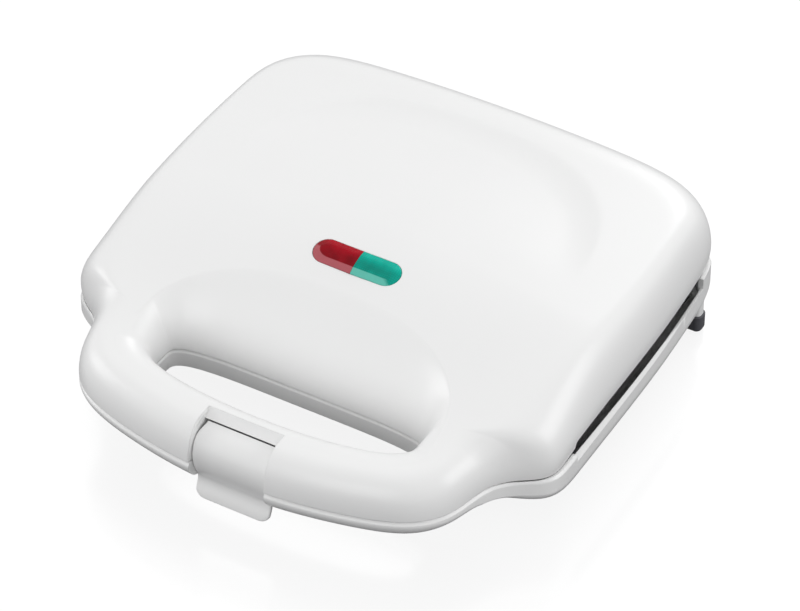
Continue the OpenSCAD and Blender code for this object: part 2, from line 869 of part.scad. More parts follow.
// A glass bulb with a round tip and a pressed foot
module neon_lamp(x) {
  place() lamp_frame() translate([x, -1.5, lamp_z]) {
    rod_x(lamp_r, lamp_len);
    translate([sign(x) * lamp_len / 2, 0, 0]) sphere(lamp_r);
    block([-lamp_len / 2 - 2, -lamp_r + 0.6, -0.6], [-lamp_len / 2 + 1, lamp_r - 0.6, 0.6]);
  }
}

module red_lamp() {
  color([0.95, 0.6, 0.5]) neon_lamp(-lamp_x);
}

module green_lamp() {
  color([0.7, 0.9, 0.8]) neon_lamp(lamp_x);
}

module lamp_resistors() {
  color([0.8, 0.7, 0.5]) place() lamp_frame() for (x = [-lamp_x, lamp_x])
    translate([x, holder_d / 2 - 5.1, holder_wires]) {
      rod_x(resistor_r, resistor_len);
      rod_x(resistor_lead_r, 2 * resistor_len);
    }
}

// ---- Wires ----

wire_sides = 8;
wire_bend = 3;
wire_lean = [0.31, 0.52, 0.8];

function unit(v) = v / norm(v);

// The line's points, with each inner corner cut back to three points of a round bend
function bent(points) = [
  for (i = [0:len(points) - 1])
    let (p = points[i])
    if (i == 0 || i == len(points) - 1) p
    else
      let (
        a = p + unit(points[i - 1] - p) * min(wire_bend, norm(points[i - 1] - p) / 3),
        b = p + unit(points[i + 1] - p) * min(wire_bend, norm(points[i + 1] - p) / 3)
      )
      each [a, (a + 2 * p + b) / 4, b]
];

// A wire: rings of points, each square to the line, closed at both ends
module wire(points, r) {
  line = bent(points);
  n = len(line);
  function run(i) = unit(line[min(n - 1, i + 1)] - line[max(0, i - 1)]);
  function ring(i) = let (t = run(i), u = unit(cross(wire_lean, t)), v = cross(t, u)) [
    for (k = [0:wire_sides - 1]) let (a = 360 * k / wire_sides) line[i] + r * (u * cos(a) + v * sin(a))
  ];
  polyhedron(
    points = [for (i = [0:n - 1]) each ring(i)],
    faces = concat(
      [[for (k = [0:wire_sides - 1]) k]],
      [[for (k = [wire_sides - 1:-1:0]) (n - 1) * wire_sides + k]],
      [
        for (i = [0:n - 2], k = [0:wire_sides - 1])
          let (
            a = i * wire_sides + k,
            b = i * wire_sides + (k + 1) % wire_sides
          )
          each [[a, a + wire_sides, b + wire_sides], [a, b + wire_sides, b]]
      ]
    )
  );
}

wire_r = 1.1;
bay_y = plate_rear + 5;
block_x = -34;
block_w = 30;
block_d = 14;
block_h = 9;
block_z = wall - tub_depth + 4.5;
block_top = block_z + block_h;
block_spots = [for (x = [block_x - 5, block_x + 5]) [x, bay_y]];
block_screw_deep = 2;
terminal_x = [block_x - 10, block_x, block_x + 10];
terminal_r = 1.9;
terminal_deep = 3;
pass_z = -(tub_back + 1.2);
cross_z = -5;
earth_z = -8.5;
bay_front = bay_y - 10;
behind_tub = slice_rear - 1;
element_end = [element_x, element_rear + pin_len - 1.5, -element_mid];

module live_wire() {
  color([0.45, 0.28, 0.16]) place() {
    wire([[terminal_x[2], bay_y - block_d / 2, block_z + 3.4], [terminal_x[2], bay_front, pass_z],
      [thermostat_x - 6, behind_tub, pass_z],
      [thermostat_x - 6, thermostat_y + thermostat_r + 0.8, pass_z - 0.6]], wire_r);
    wire([[fuse_x - fuse_len / 2 - 1.5, thermostat_y, -tub_back - fuse_r],
      [fuse_x - 26, thermostat_y + 6, pass_z],
      [fuse_x - 32, bay_front + 0.5, pass_z], [10 - element_x, bay_y - 2, pass_z + 1.6],
      [-element_end[0], element_end[1] - 1, element_end[2] + 1.8]], wire_r);
  }
}

module neutral_wire() {
  color([0.2, 0.35, 0.65]) place() wire([[terminal_x[1], bay_y, block_top], [terminal_x[1], bay_y, cross_z],
    [element_x - 12, bay_y, cross_z], [element_end[0], element_end[1] - 1, element_end[2] + 1.8]], wire_r);
}

earth_x = slice_mid - 20;
earth_tag_r = 3.4;
earth_tag_h = 2.4;
module earth_wire() {
  color([0.35, 0.6, 0.2]) place() {
    wire([[terminal_x[2], bay_y + 2, block_top], [terminal_x[2], bay_y + 3.5, earth_z],
      [earth_x, bay_y - 3, earth_z], [earth_x, plate_rear - 3, earth_z + 2.5]], wire_r);
    translate([earth_x, plate_rear - 5.5, -flange_back - earth_tag_h])
      cylinder(r = earth_tag_r, h = earth_tag_h);
  }
}

// ---- Switches and connections in the base ----

thermostat_x = 22;
thermostat_y = slice_rear - 25;
thermostat_r = 8.5;
thermostat_h = 6.5;
thermostat_flange = 1.6;
tab_w = 4;
tab_h = 3;
strap_w = 7;
strap_half = 15;

module thermostat() {
  color([0.2, 0.2, 0.22]) place() translate([thermostat_x, thermostat_y, 0]) below() {
    translate([0, 0, tub_back]) cylinder(r = thermostat_r, h = thermostat_flange);
    translate([0, 0, tub_back]) cylinder(r = thermostat_r - 1.2, h = thermostat_h - 0.9);
    for (y = [-1, 1]) translate([-1.5 * tab_w, y * (thermostat_r - sheet_t / 2) - sheet_t / 2, 0])
      translate([0, 0, tub_back + thermostat_flange]) cube([tab_w, sheet_t, tab_h]);
  }
}

module thermostat_strap() {
  color(bright) place() below() difference() {
    block([thermostat_x - strap_half, thermostat_y - strap_w / 2, tub_back],
      [thermostat_x + strap_half, thermostat_y + strap_w / 2, tub_back + thermostat_h]);
    block([thermostat_x - thermostat_r - 0.2, thermostat_y - strap_w, 0],
      [thermostat_x + thermostat_r + 0.2, thermostat_y + strap_w, tub_back + thermostat_h - sheet_t]);
    translate([thermostat_x, thermostat_y, tub_back + sheet_t]) both_sides()
      block([thermostat_r + 1, -strap_w, 0], [strap_half + 1, strap_w, 2 * thermostat_h]);
  }
}

fuse_x = -14;
fuse_r = 2.6;
fuse_len = 22;
fuse_lead_r = 0.6;
fuse_lead = 9;
module thermal_fuse() {
  color(glass_sleeve) place() translate([fuse_x, thermostat_y, -tub_back - fuse_r]) {
    rod_x(fuse_r, fuse_len);
    translate([fuse_len / 2 + fuse_lead / 2 - 0.5, 0, 0]) rod_x(fuse_lead_r, fuse_lead);
  }
}

module terminal_block() {
  color([0.9, 0.9, 0.86]) place() difference() {
    translate([block_x, bay_y, 0])
      block([-block_w / 2, -block_d / 2, block_z], [block_w / 2, block_d / 2, block_top]);
    for (x = terminal_x) translate([x, bay_y, block_top - terminal_deep])
      cylinder(r = terminal_r, h = terminal_deep + 1);
    at(block_spots) translate([0, 0, block_z - 1]) cylinder(r = rivet_r + screw_gap, h = block_h + 2);
  }
}

module terminal_block_screws() {
  color(steel) place() at(block_spots)
    translate([0, 0, block_top]) screw(small_head_r, small_head_h, rivet_r, block_h + block_screw_deep);
}

link_r = 2.4;
link_len = 9;
lid_sleeve_r = 2;
lead_r = 0.8;
fork = [link_x + 10, axis_y - 4, hinge_z + 13];
fork_y = axis_y - 8.5;
module link_sleeve() {
  color(glass_sleeve) place() wire([[link_x - 6, bay_y + 3, block_top + 1.5],
    [link_x - link_len, axis_y - 4, -1], [link_x - link_len, axis_y, hinge_z], [link_x, axis_y, hinge_z]],
    link_r);
}

lid_end = [element_x, element_rear + pin_len - 1.5, element_mid];
module lid_wires() {
  color(glass_sleeve) place() {
    wire([[link_x + 0.1, axis_y, hinge_z], [link_x + 7, axis_y, hinge_z], fork], lid_sleeve_r);
    wire([fork, [10 - element_x, fork_y, fork[2] - 1], [-lid_end[0], lid_end[1] - 1, lid_end[2] + 2]],
      wire_r);
    wire([fork, [element_x - 14, fork_y, fork[2]], [lid_end[0], lid_end[1] - 1, lid_end[2] + 2]], wire_r);
  }
}

module lamp_wires() {
  color([0.75, 0.2, 0.15]) place() for (x = [-resistor_x, resistor_x])
    wire([[fork[0] + sign(x), axis_y - 6, fork[2] + 2], [x, slice_rear - 5, crown_h - 14.5],
      [x, lens_y + 22, crown_h - 13.5], [x, lens_y + holder_d / 2 + 3.5, lens_z - 6.6]], lead_r);
}

// ---- Cord inlet ----

inlet_y = body_d - 2.6;
inlet_len = 9.4;
inlet_flange = 1.4;
outer_lip = 1.6;
inner_lip = 1.2;
inlet_boss_r = grommet_d / 2 + 2.4;
inlet_out = 10;
clamp_y = body_d - 21;
clamp_d = 7;
clamp_half = 13;
clamp_h = 4;
cord_clamp_z = -inlet_z + 1.4;
cord_screw_x = 9;
cord_screw_deep = 6;
cord_spots = [for (x = [-cord_screw_x, cord_screw_x]) [x, clamp_y + clamp_d / 2]];

module along_y(r, h) {
  rotate([90, 0, 0]) cylinder(r = r, h = h);
}

module cord_grommet() {
  color(rubber) place() translate([0, inlet_y, -inlet_z]) difference() {
    union() {
      along_y(grommet_d / 2, inlet_len);
      translate([0, inlet_flange, 0]) along_y(grommet_d / 2 + outer_lip, inlet_flange);
      translate([0, -inlet_len, 0]) along_y(grommet_d / 2 + inner_lip, inlet_flange);
    }
    translate([0, inlet_flange + 1, 0]) along_y(cord_bore / 2, inlet_len + 2 * inlet_flange + 2);
  }
}

module cord_clamp() {
  color([0.85, 0.85, 0.83]) place() difference() {
    block([-clamp_half, clamp_y, cord_clamp_z], [clamp_half, clamp_y + clamp_d, cord_clamp_z + clamp_h]);
    translate([0, clamp_y + clamp_d + 1, -inlet_z]) along_y(cord_bore / 2, clamp_d + 2);
    at(cord_spots) translate([0, 0, cord_clamp_z - 1]) cylinder(r = rivet_r + screw_gap, h = clamp_h + 2);
  }
}

module cord_clamp_screws() {
  color(steel) place() at(cord_spots)
    translate([0, 0, cord_clamp_z + clamp_h])
      screw(small_head_r, small_head_h, rivet_r, clamp_h + cord_screw_deep);
}

// ---- Feet ----

foot_in = 3;
foot_stem_r = 2.5;
leg_x = half_body - leg_side;
leg_y = body_d - leg_inset;
leg_cap = 0.8;
leg_r = 2.2;
leg_top = 13 - tub_depth;
rear_foot_h = base_h - tub_depth + 1;
foot_top = rear_foot_h - base_h;
foot_pocket = foot_sole - base_h;

module front_feet() {
  color(rubber) place() for (x = [-foot_x, foot_x]) translate([x, foot_y, -base_h]) {
    cylinder(r = foot_d / 2, h = base_h - tub_depth - 0.05);
    cylinder(r = foot_stem_r, h = base_h - tub_depth + foot_in);
  }
}

module leg_block(grow, low, high) {
  for (x = [-leg_x, leg_x]) translate([x - leg_w / 2 - grow, leg_y - leg_d / 2 - grow, low])
    round_plate(leg_w + 2 * grow, leg_d + 2 * grow, leg_r, high - low);
}

module rear_feet() {
  color(rubber) place() difference() {
    leg_block(leg_cap, -base_h, foot_top);
    leg_block(0, foot_pocket, 0);
  }
}

// ---- Housings ----

gap_front = 87;
gap_rear = 35;
gap_z = 6.6;
rim_low = 1.7;
rim_bevel = 2.3;
corner_z = 4;
post_z = 3.4;
corner_end = 18;
side_in = 16;

module lid_shell() {
  ring_solid([
    for (o = outline)
      concat(lid_skin(o, 0, side_rows, wall_rows),
        reversed(lid_skin(o, wall, side_rows - 2, wall_rows - 1)))
  ]);
}

module base_shell() {
  ring_solid([for (o = outline) concat(reversed(base_skin(o, 0)), base_skin(o, wall))]);
}

// Everything that is cut out of the lid's skin
module lid_cuts() {
  block([-slot_half, -5, -1], [slot_half, hood_rear, crown_h]);
  for (x = [-half_body - 5, half_body - side_in]) {
    block([x, gap_front, -1], [x + side_in + 5, body_d - gap_rear + over, gap_z]);
    block([x, body_d - gap_rear, -1], [x + side_in + 5, body_d - corner_end, corner_z]);
  }
  block([-half_body, body_d - corner_end - over, -1], [half_body, body_d + 5, rear_edge_z]);
  hinge_slots();
  lamp_frame() {
    translate([0, 0, -2 * wall]) stadium(lens_w + 2 * lens_gap, lens_d + 2 * lens_gap, 4 * wall);
    translate([0, 0, -lens_seat - 3 * lens_flange_t])
      stadium(lens_w + 2 * lens_flange + 0.3, lens_d + 2 * lens_flange + 0.3, 3 * lens_flange_t);
  }
}

module lid_posts() {
  for (s = plate_spots) translate(s) post(boss_r, boss_back, crown(s) - wall + root_in);
  for (s = tray_spots) translate(s) post(tray_post_r, sheet_back, crown(s) - wall + root_in);
  lamp_frame() for (x = [-holder_screw_x, holder_screw_x]) translate([x, 0, 0])
    post(3.4, holder_tab_z, -wall / 2 - 0.4);
}

module lid_pilots() {
  at(plate_spots) pilot(screw_shank_r, boss_back, plate_screw_deep);
  at(tray_spots) pilot(rivet_r, sheet_back, lid_tray_deep);
  lamp_frame() for (x = [-holder_screw_x, holder_screw_x]) translate([x, 0, 0])
    pilot(rivet_r, holder_tab_z, holder_screw_deep);
}

// Bores for the hinge pins, each only as long as its hinge
module hinge_bores(r) {
  at_axis() for (x = [-hinge_x, hinge_x]) translate([x, 0, 0]) rod_x(r, 2 * hinge_out + 2 * run_gap);
}

module upper_housing() {
  color(white) place() difference() {
    union() {
      difference() {
        lid_shell();
        lid_cuts();
      }
      lid_slot_liner();
      slot_hood();
      hinge_knuckles();
      lid_posts();
      for (x = rib_xs) translate([x, 0, 0])
        along_x([[9, half_gap], [9, 10], [13, 15], [22, 16], [bar_w - 2, 12], [bar_w, half_gap]], rib_t);
    }
    hinge_bores(hinge_pin_d / 2 + pin_gap);
    lid_pilots();
    translate([0, latch_pin_y, latch_pin_z]) rod_x(latch_pin_d / 2, 2 * (slot_half + liner) + 1);
  }
}

module base_posts() {
  below() {
    for (s = plate_spots) translate(s) post(boss_r, boss_back, under(s) - wall + root_in);
    at(tray_spots) post(tray_post_r, sheet_back, tub_depth - wall + root_in);
    at(cord_spots) post(3.2, -cord_clamp_z, rear_low(body_d - clamp_y - clamp_d / 2) - wall / 2);
  }
  translate([block_x, bay_y, 0]) block([-9, -4, wall / 2 - rear_low(body_d - bay_y - 4)], [9, 4, block_z]);
}

module base_pilots() {
  below() {
    at(plate_spots) pilot(screw_shank_r, boss_back, plate_screw_deep);
    at(tray_spots) pilot(rivet_r, sheet_back, base_tray_deep);
    at(cord_spots) pilot(rivet_r, -cord_clamp_z, cord_screw_deep);
    at(block_spots) pilot(rivet_r, -block_z, block_screw_deep);
  }
}

// Bevel along the base's rim in the long gaps at the sides
module rim_cuts() {
  both_sides() translate([half_body, body_d - gap_rear, -rim_low]) rotate([90, 0, 0])
    linear_extrude(body_d - gap_rear - gap_front)
      polygon([[4, 4], [4, -rim_bevel - 4], [0, -rim_bevel],
        [-rim_bevel, 0], [-2 * wall, 0], [-2 * wall, 4]]);
}

// Rear corners of the rim, which rise to the lid's edge
corner_line = [for (j = [3:8]) spline(outline_ring, 12, j / 9)];
module rim_corners() {
  both_sides() translate([0, 0, -4]) linear_extrude(post_z + 4)
    polygon(concat(corner_line, [for (p = reversed(corner_line)) p - [wall, 0]]));
}

module lower_housing() {
  color(white) place() difference() {
    union() {
      difference() {
        base_shell();
        block([-slot_half, -5, -2 * handle_under], [slot_half, catch_y, 1]);
        block([-half_body, body_d - corner_end + 3, -rear_drop], [half_body, body_d + 5, 1]);
        rim_cuts();
      }
      base_slot_liner();
      hinge_ears();
      base_posts();
      rim_corners();
      leg_block(0, foot_pocket + 0.05, leg_top);
      translate([0, inlet_y, -inlet_z]) along_y(inlet_boss_r, inlet_len);
      for (x = rib_xs) translate([x, 0, 0])
        along_x([[9, -half_gap], [11, 1.6 - handle_under], [bar_w - 3, 1.6 - handle_under],
          [bar_w, -half_gap]], rib_t);
    }
    hinge_bores(hinge_pin_d / 2);
    base_pilots();
    translate([0, inlet_y, -inlet_z]) {
      translate([0, inlet_out, 0]) along_y(grommet_d / 2, inlet_len + inlet_out + 2);
      translate([0, inlet_out, 0]) along_y(grommet_d / 2 + outer_lip + 0.1, inlet_out);
      translate([0, -inlet_len, 0]) along_y(grommet_d / 2 + inner_lip + 0.2, inlet_flange + 1);
    }
    for (x = [-foot_x, foot_x]) translate([x, foot_y, -base_h])
      cylinder(r = foot_stem_r, h = base_h - tub_depth + foot_in + 1);
  }
}

// ---- Nodes that use the shared modules ----

module lower_plate() {
  color(coated) place() below() baking_plate();
}

module upper_plate() {
  color(coated) place() baking_plate();
}

module lower_element() {
  color([0.35, 0.34, 0.33]) place() below() element();
}

module upper_element() {
  color([0.35, 0.34, 0.33]) place() element();
}

module lower_element_clamps() {
  color(bright) place() below() element_clamps();
}

module upper_element_clamps() {
  color(bright) place() element_clamps();
}

module lower_reflector() {
  color(bright) place() below() reflector();
}

module upper_reflector() {
  color(bright) place() reflector();
}

module lower_plate_screws() {
  color(steel) place() below() plate_screws();
}

module upper_plate_screws() {
  color(steel) place() plate_screws();
}

module lower_tray_screws() {
  color(steel) place() below() tray_screws(base_tray_deep);
}

module upper_tray_screws() {
  color(steel) place() tray_screws(lid_tray_deep);
}

module red_lens() {
  color([0.72, 0.03, 0.1]) place() lens();
}

module green_lens() {
  color([0.02, 0.6, 0.52]) place() mirror([1, 0, 0]) lens();
}

lower_housing();
lower_plate();
lower_element();
lower_element_clamps();
lower_reflector();
lower_plate_screws();
lower_tray_screws();
thermostat();
thermostat_strap();
thermal_fuse();
terminal_block();
terminal_block_screws();
cord_grommet();
cord_clamp();
cord_clamp_screws();
live_wire();
neutral_wire();
earth_wire();
front_feet();
rear_feet();
hinge_pins();
link_sleeve();
upper_housing();
upper_plate();
upper_element();
upper_element_clamps();
upper_reflector();
upper_plate_screws();
upper_tray_screws();
red_lens();
green_lens();
lamp_holder();
lamp_holder_screws();
red_lamp();
green_lamp();
lamp_resistors();
lid_wires();
lamp_wires();
latch_pin();
latch();
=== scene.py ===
"""Looks of the sandwich toaster.

Sizes are in millimetres in the plan frame: x to the right, y back from the handle's front,
z up from the parting plane between lid and base. to_frame() brings them to the fixed frame.
"""

import math

import bpy
import numpy as np
from mathutils import Matrix, Vector


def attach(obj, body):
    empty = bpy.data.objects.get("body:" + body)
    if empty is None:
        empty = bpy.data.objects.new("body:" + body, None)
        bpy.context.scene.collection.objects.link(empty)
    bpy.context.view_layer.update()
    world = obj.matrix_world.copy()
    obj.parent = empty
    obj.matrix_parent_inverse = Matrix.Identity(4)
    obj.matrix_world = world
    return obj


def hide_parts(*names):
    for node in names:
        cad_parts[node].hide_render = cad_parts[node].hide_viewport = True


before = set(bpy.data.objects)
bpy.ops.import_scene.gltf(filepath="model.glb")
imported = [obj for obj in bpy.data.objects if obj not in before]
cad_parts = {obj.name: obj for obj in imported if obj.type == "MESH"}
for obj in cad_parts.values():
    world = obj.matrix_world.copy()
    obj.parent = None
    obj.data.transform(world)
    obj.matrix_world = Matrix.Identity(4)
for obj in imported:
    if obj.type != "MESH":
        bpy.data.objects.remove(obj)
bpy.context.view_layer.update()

# ---- Body ----
BODY_W = 237.6
BODY_D = 244.0
BASE_H = 35.0
CROWN_H = 42.5
CROWN_DROP = 3.25
DROP_X = 84.0
LID_ROUND = 28.0
WALL = 2.6
HALF_GAP = 0.3
SIDE_SWELL = 3.1
SWELL_SPAN = 0.4
TUB_DEPTH = 27.0
RIM_H = 9.0
EDGE_R = 0.6
RIM_BEVEL = 1.3
INNER_BEVEL = 0.3
BEVEL_INSET = (1.0, 0.9, 0.12, 0.0)
BEVEL_DROP = (0.0, 0.04, 0.86, 1.1)

# ---- Handle, grip opening and scoop ----
HANDLE_W = 188.0
WAIST_W = 194.0
WAIST_Y = 52.0
HANDLE_TOP = 19.0
HANDLE_UNDER = 11.0
BAR_W = 31.0
GRIP_W = 126.0
GRIP_D = 31.5
GRIP_SWEEP = 7.0
GRIP_SQUARE = 0.42
SCOOP_W = 148.0
SCOOP_RUN = 31.5
SCOOP_ROUND = 0.9
RAMP_Y = 32.0
RAMP_LEN = 103.0
SHOULDER_RISE = 0.1
UNDER_RAMP_Y = 56.0
UNDER_RAMP = 34.0
CREST_TURN = 30.0
CREST_FADE = 36.0

# ---- Sections: roundness exponents (higher is squarer) and the reach of their rounds ----
SIDE_POWER = 2.52
BAR_POWER = 2.2
SCOOP_FALL = 1.25
SCOOP_DROP = 1.6
EDGE_ROUND = 30.0
EDGE_POWER = 1.6
BAR_RIM_H = 2.4
BAR_ROUND = 8.0
RUN_LIMIT = 0.8
HOLE_RUN = 0.9
HOLE_RISE = 2.0

# ---- Sunk panel on the lid ----
PANEL_HALF = 86.0
PANEL_MID = 129.0
PANEL_REAR = 213.0
PANEL_POWER = 2.75
PANEL_DEEP = 2.4
PANEL_STEP = 14.0
PANEL_START = 136.0
PANEL_FADE = 56.0

# ---- Latch ----
LATCH_W = 35.6
LATCH_GAP = 0.5
LATCH_T = 2.4
LATCH_REACH = 20.0
PIN_Y = 12.0
PIN_Z = 7.5
PIN_R = 1.5
LATCH_TOP = (2.3, 7.1)
SLOT_Y = 20.7
HOOD_R = math.hypot(*LATCH_TOP) + 0.35
HOOD_FRONT = PIN_Y + LATCH_TOP[0] + 0.7
HOOD_REAR = HOOD_FRONT + 3.4
HOOD_LOW = PIN_Z + LATCH_TOP[1] + 0.3
CATCH_Y = 9.9
CATCH_LOW = -6.9
CATCH_HALF = 13.0
CHEEK_X = 11.5
CHEEK_R = 4.0
CHEEK_T = 3.0
LIP_R = 4.0
LINER_T = 2.4

# ---- Side gaps and rear edge ----
GAP_FRONT = 87.0
GAP_REAR = 35.0
GAP_Z = 6.6
GAP_CORNER_R = 1.6
GAP_CUT = 21.0
CORNER_Z = 4.0
CORNER_END = 18.0
POST_Z = 3.4
RIM_LOW = 1.7
RIM_CHAMFER = 2.3
REAR_EDGE_Z = 1.0
REAR_DROP = 2.5

# ---- Hinge ----
HINGE_INSET = 9.0
HINGE_Z = 11.0
HINGE_X = 72.0
EYE_R = 6.0
EAR_T = 4.5
KNUCKLE_W = 11.0
RUN_GAP = 0.25
PIN_BORE = 2.08
SLOT_RISE = 9.5
WEB_T = 8.0
EAR_BORE = 2.0
LINK_X = -36.0
LINK_HALF = 13.0

# ---- Lenses ----
LENS_W = 42.0
LENS_D = 12.6
LENS_Y = 108.0
LENS_Z = 38.6
LENS_TILT = math.radians(15.0)
LENS_GAP = 0.15
LENS_BEVEL = 3.0
LENS_TOP = 1.15
LENS_SEAT = 2.8
LENS_FLANGE = 2.0
LENS_FLANGE_T = 1.4
LENS_SPLIT = 0.05
RIB_SCALE = 330.0
RIB_DEPTH = 0.00004
CLOUD_SCALE = 120.0
# Lens slopes that face this way get the painted highlight colour.
PAINTED_HIGHLIGHT_SIDE = (-0.6, -0.8, 0.0)

# ---- Plates, and the posts and ribs inside the lid ----
PLATE_D = 140.0
PLATE_Y = 74.0
PLATE_T = 3.4
PLATE_GAP = 0.8
PLATE_MARGIN = 6.5
SCREW_X = 66.0
POST_R = 4.5
POST_GAP = 3.0
POST_SINK = 0.8
RIB_X = (-46, -32, 32, 46)
RIB_T = 1.8
RIB_LINE = [(9, HALF_GAP), (9, 10), (13, 15), (22, 16), (29, 12), (31, HALF_GAP)]

# ---- Feet and cord inlet ----
FOOT_D = 15.0
FOOT_X = 80.0
FOOT_Y = 104.0
LEG_W = 9.0
LEG_D = 5.8
LEG_SIDE = 13.0
LEG_INSET = 24.7
LEG_R = 2.2
LEG_CAP = 0.8
LEG_TOP = -14.0
REAR_FOOT_H = 9.0
FOOT_SOLE = 4.0
GROMMET_D = 13.0
INLET_Z = 12.5
INLET_IN = 2.6
INLET_LEN = 9.4
INLET_WALL = 2.4
INLET_FLANGE = 1.7

HALF_BODY = BODY_W / 2
SLOT_HALF = LATCH_W / 2 + LATCH_GAP
AXIS_Y = BODY_D - HINGE_INSET
EAR_MID = KNUCKLE_W / 2 + RUN_GAP + EAR_T / 2
HINGE_OUT = EAR_MID + EAR_T / 2
LEG_X = HALF_BODY - LEG_SIDE
LEG_Y = BODY_D - LEG_INSET
PAST = 5.0
LAP = 0.02


# ======== Plain helpers ========

def mix(a, b, u):
    """From a to b as u goes from 0 to 1."""
    return a + (b - a) * u


def ease(u):
    """0 to 1 with level ends: 3u^2 - 2u^3, held outside 0..1."""
    v = np.clip(u, 0.0, 1.0)
    return v * v * (3.0 - 2.0 * v)


def bend(c, power):
    """Superellipse coordinate: the sign of c times |c| to the power."""
    return np.sign(c) * np.abs(c) ** power


def unit(v):
    """Vectors of length one along the last axis."""
    return v / np.maximum(np.linalg.norm(v, axis=-1, keepdims=True), 1e-9)


def to_frame(points):
    """Plan millimetres to frame metres: half the depth off y, the base height onto z."""
    return (np.asarray(points, float) + (0.0, -BODY_D / 2, BASE_H)) / 1000.0


def grid_faces(rows, cols, close_rows=False, close_cols=False):
    """Quads (i, j), (i+1, j), (i+1, j+1), (i, j+1) of a grid; a closed direction wraps round."""
    i = np.arange(rows if close_rows else rows - 1)[:, None]
    j = np.arange(cols if close_cols else cols - 1)[None, :]
    down, right = (i + 1) % rows, (j + 1) % cols
    corners = (i * cols + j, down * cols + j, down * cols + right, i * cols + right)
    return np.stack(np.broadcast_arrays(*corners), axis=-1).reshape(-1, 4).tolist()


def enclosed(points, faces):
    """Six times the signed volume inside the faces: the sum of triple products over a fan of each."""
    total = 0.0
    for f in faces:
        p = points[list(f)]
        total += np.einsum("ij,ij->", np.cross(p[1:-1], p[2:]), np.broadcast_to(p[0], p[2:].shape))
    return total


def raised(xy, z):
    """Points at the plan places xy and the heights z, for every ray and row."""
    return np.concatenate([xy, z[:, :, None]], axis=2)


def at_level(line, z):
    """A plan line at one height."""
    return np.column_stack([line, np.full(len(line), z)])


def solid(points, faces):
    """A closed shape in plan millimetres, its faces turned outwards."""
    points = np.asarray(points, float).reshape(-1, 3)
    faces = [tuple(f) for f in faces]
    if enclosed(points, faces) < 0:
        faces = [f[::-1] for f in faces]
    return points, faces


def make_object(name, shape):
    """A Blender object at the origin from a solid, brought to the frame."""
    points, faces = shape
    mesh = bpy.data.meshes.new(name)
    mesh.from_pydata(to_frame(points).tolist(), [], faces)
    mesh.update()
    piece = bpy.data.objects.new(name, mesh)
    bpy.context.scene.collection.objects.link(piece)
    return piece


def combine(piece, shapes, operation):
    """Joins (UNION) or cuts (DIFFERENCE) closed shapes with the piece, one after another."""
    for shape in shapes:
        tool = make_object("tool", shape)
        step = piece.modifiers.new("step", "BOOLEAN")
        step.operation = operation
        step.solver = "MANIFOLD"
        step.object = tool
        graph = bpy.context.evaluated_depsgraph_get()
        made = bpy.data.meshes.new_from_object(piece.evaluated_get(graph))
        piece.modifiers.clear()
        piece.data = made
        bpy.data.objects.remove(tool)
    return piece


def finish_piece(piece, material, body, replaces=(), sharp=32.0):
    """Smooth shading with creases above an angle, its finish, and the body that it moves with."""
    mesh = piece.data
    mesh.name = piece.name
    mesh.shade_smooth()
    mesh.set_sharp_from_angle(angle=math.radians(sharp))
    weighted = piece.modifiers.new("weighted_normals", "WEIGHTED_NORMAL")
    weighted.keep_sharp = True
    mesh.materials.clear()
    mesh.materials.append(material)
    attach(piece, body)
    if replaces:
        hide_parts(*replaces)
    return piece


# ---- Simple solids ----

def ring_stack(rings):
    """A closed shape from rings of points, one after another, with a face over each end."""
    points = np.asarray(rings, float)
    n, m = points.shape[:2]
    ends = [tuple(range(m)), tuple(range(n * m - 1, (n - 1) * m - 1, -1))]
    return solid(points, grid_faces(n, m, close_cols=True) + ends)


def prism(outline, low, high, axis):
    """A closed outline drawn along an axis: its points at low, then again at high."""
    flat = np.asarray(outline, float)
    return ring_stack([np.insert(flat, axis, level, axis=1) for level in (low, high)])


def block(low, high):
    """A box between its lowest and highest corner."""
    (x0, y0, z0), (x1, y1, z1) = low, high
    return prism([(x0, y0), (x1, y0), (x1, y1), (x0, y1)], z0, z1, 2)


def circle(r, steps=64, centre=(0.0, 0.0)):
    """Points of a circle of radius r: centre + r (cos a, sin a)."""
    a = np.linspace(0, 2 * np.pi, steps, endpoint=False)
    return np.stack([centre[0] + r * np.cos(a), centre[1] + r * np.sin(a)], axis=1)


def rod_x(centre, r, length, steps=64):
    """A round rod along x, centred on a point."""
    x, y, z = centre
    return prism(circle(r, steps, (y, z)), x - length / 2, x + length / 2, 0)


def rod_y(centre, r, length, steps=64):
    """A round rod along y, from the centre backwards by its length."""
    x, y, z = centre
    return prism(circle(r, steps, (x, z)), y, y + length, 1)


def rod_z(centre, r, height, steps=48):
    """A round rod along z, standing on its centre."""
    x, y, z = centre
    return prism(circle(r, steps, (x, y)), z, z + height, 2)


def round_outline(half_w, half_d, r, steps=12):
    """A rectangle with round corners: four quarter circles of radius r about the inner corners."""
    a = np.linspace(0, np.pi / 2, steps)
    corners = [(1, 1, 0), (-1, 1, 1), (-1, -1, 2), (1, -1, 3)]
    return np.concatenate([
        np.stack([
            sx * (half_w - r) + r * np.cos(a + q * np.pi / 2),
            sy * (half_d - r) + r * np.sin(a + q * np.pi / 2),
        ], axis=1)
        for sx, sy, q in corners
    ])


def lathe(profile, centre, steps=64):
    """A profile of (radius, height) turned about an upright axis; it starts and ends on the axis."""
    profile = np.asarray(profile, float)
    a = np.linspace(0, 2 * np.pi, steps, endpoint=False)
    rings = profile[1:-1]
    x = rings[:, :1] * np.cos(a)
    y = rings[:, :1] * np.sin(a)
    z = np.broadcast_to(rings[:, 1:], x.shape)
    points = np.stack([x, y, z], axis=-1).reshape(-1, 3)
    n = len(points)
    points = np.concatenate([points, [(0, 0, profile[0, 1])], [(0, 0, profile[-1, 1])]])
    faces = grid_faces(len(rings), steps, close_cols=True)
    last = n - steps
    for k in range(steps):
        faces.append((n, k, (k + 1) % steps))
        faces.append((n + 1, last + (k + 1) % steps, last + k))
    return solid(points + np.asarray(centre, float), faces)


# ======== Shell formulas ========

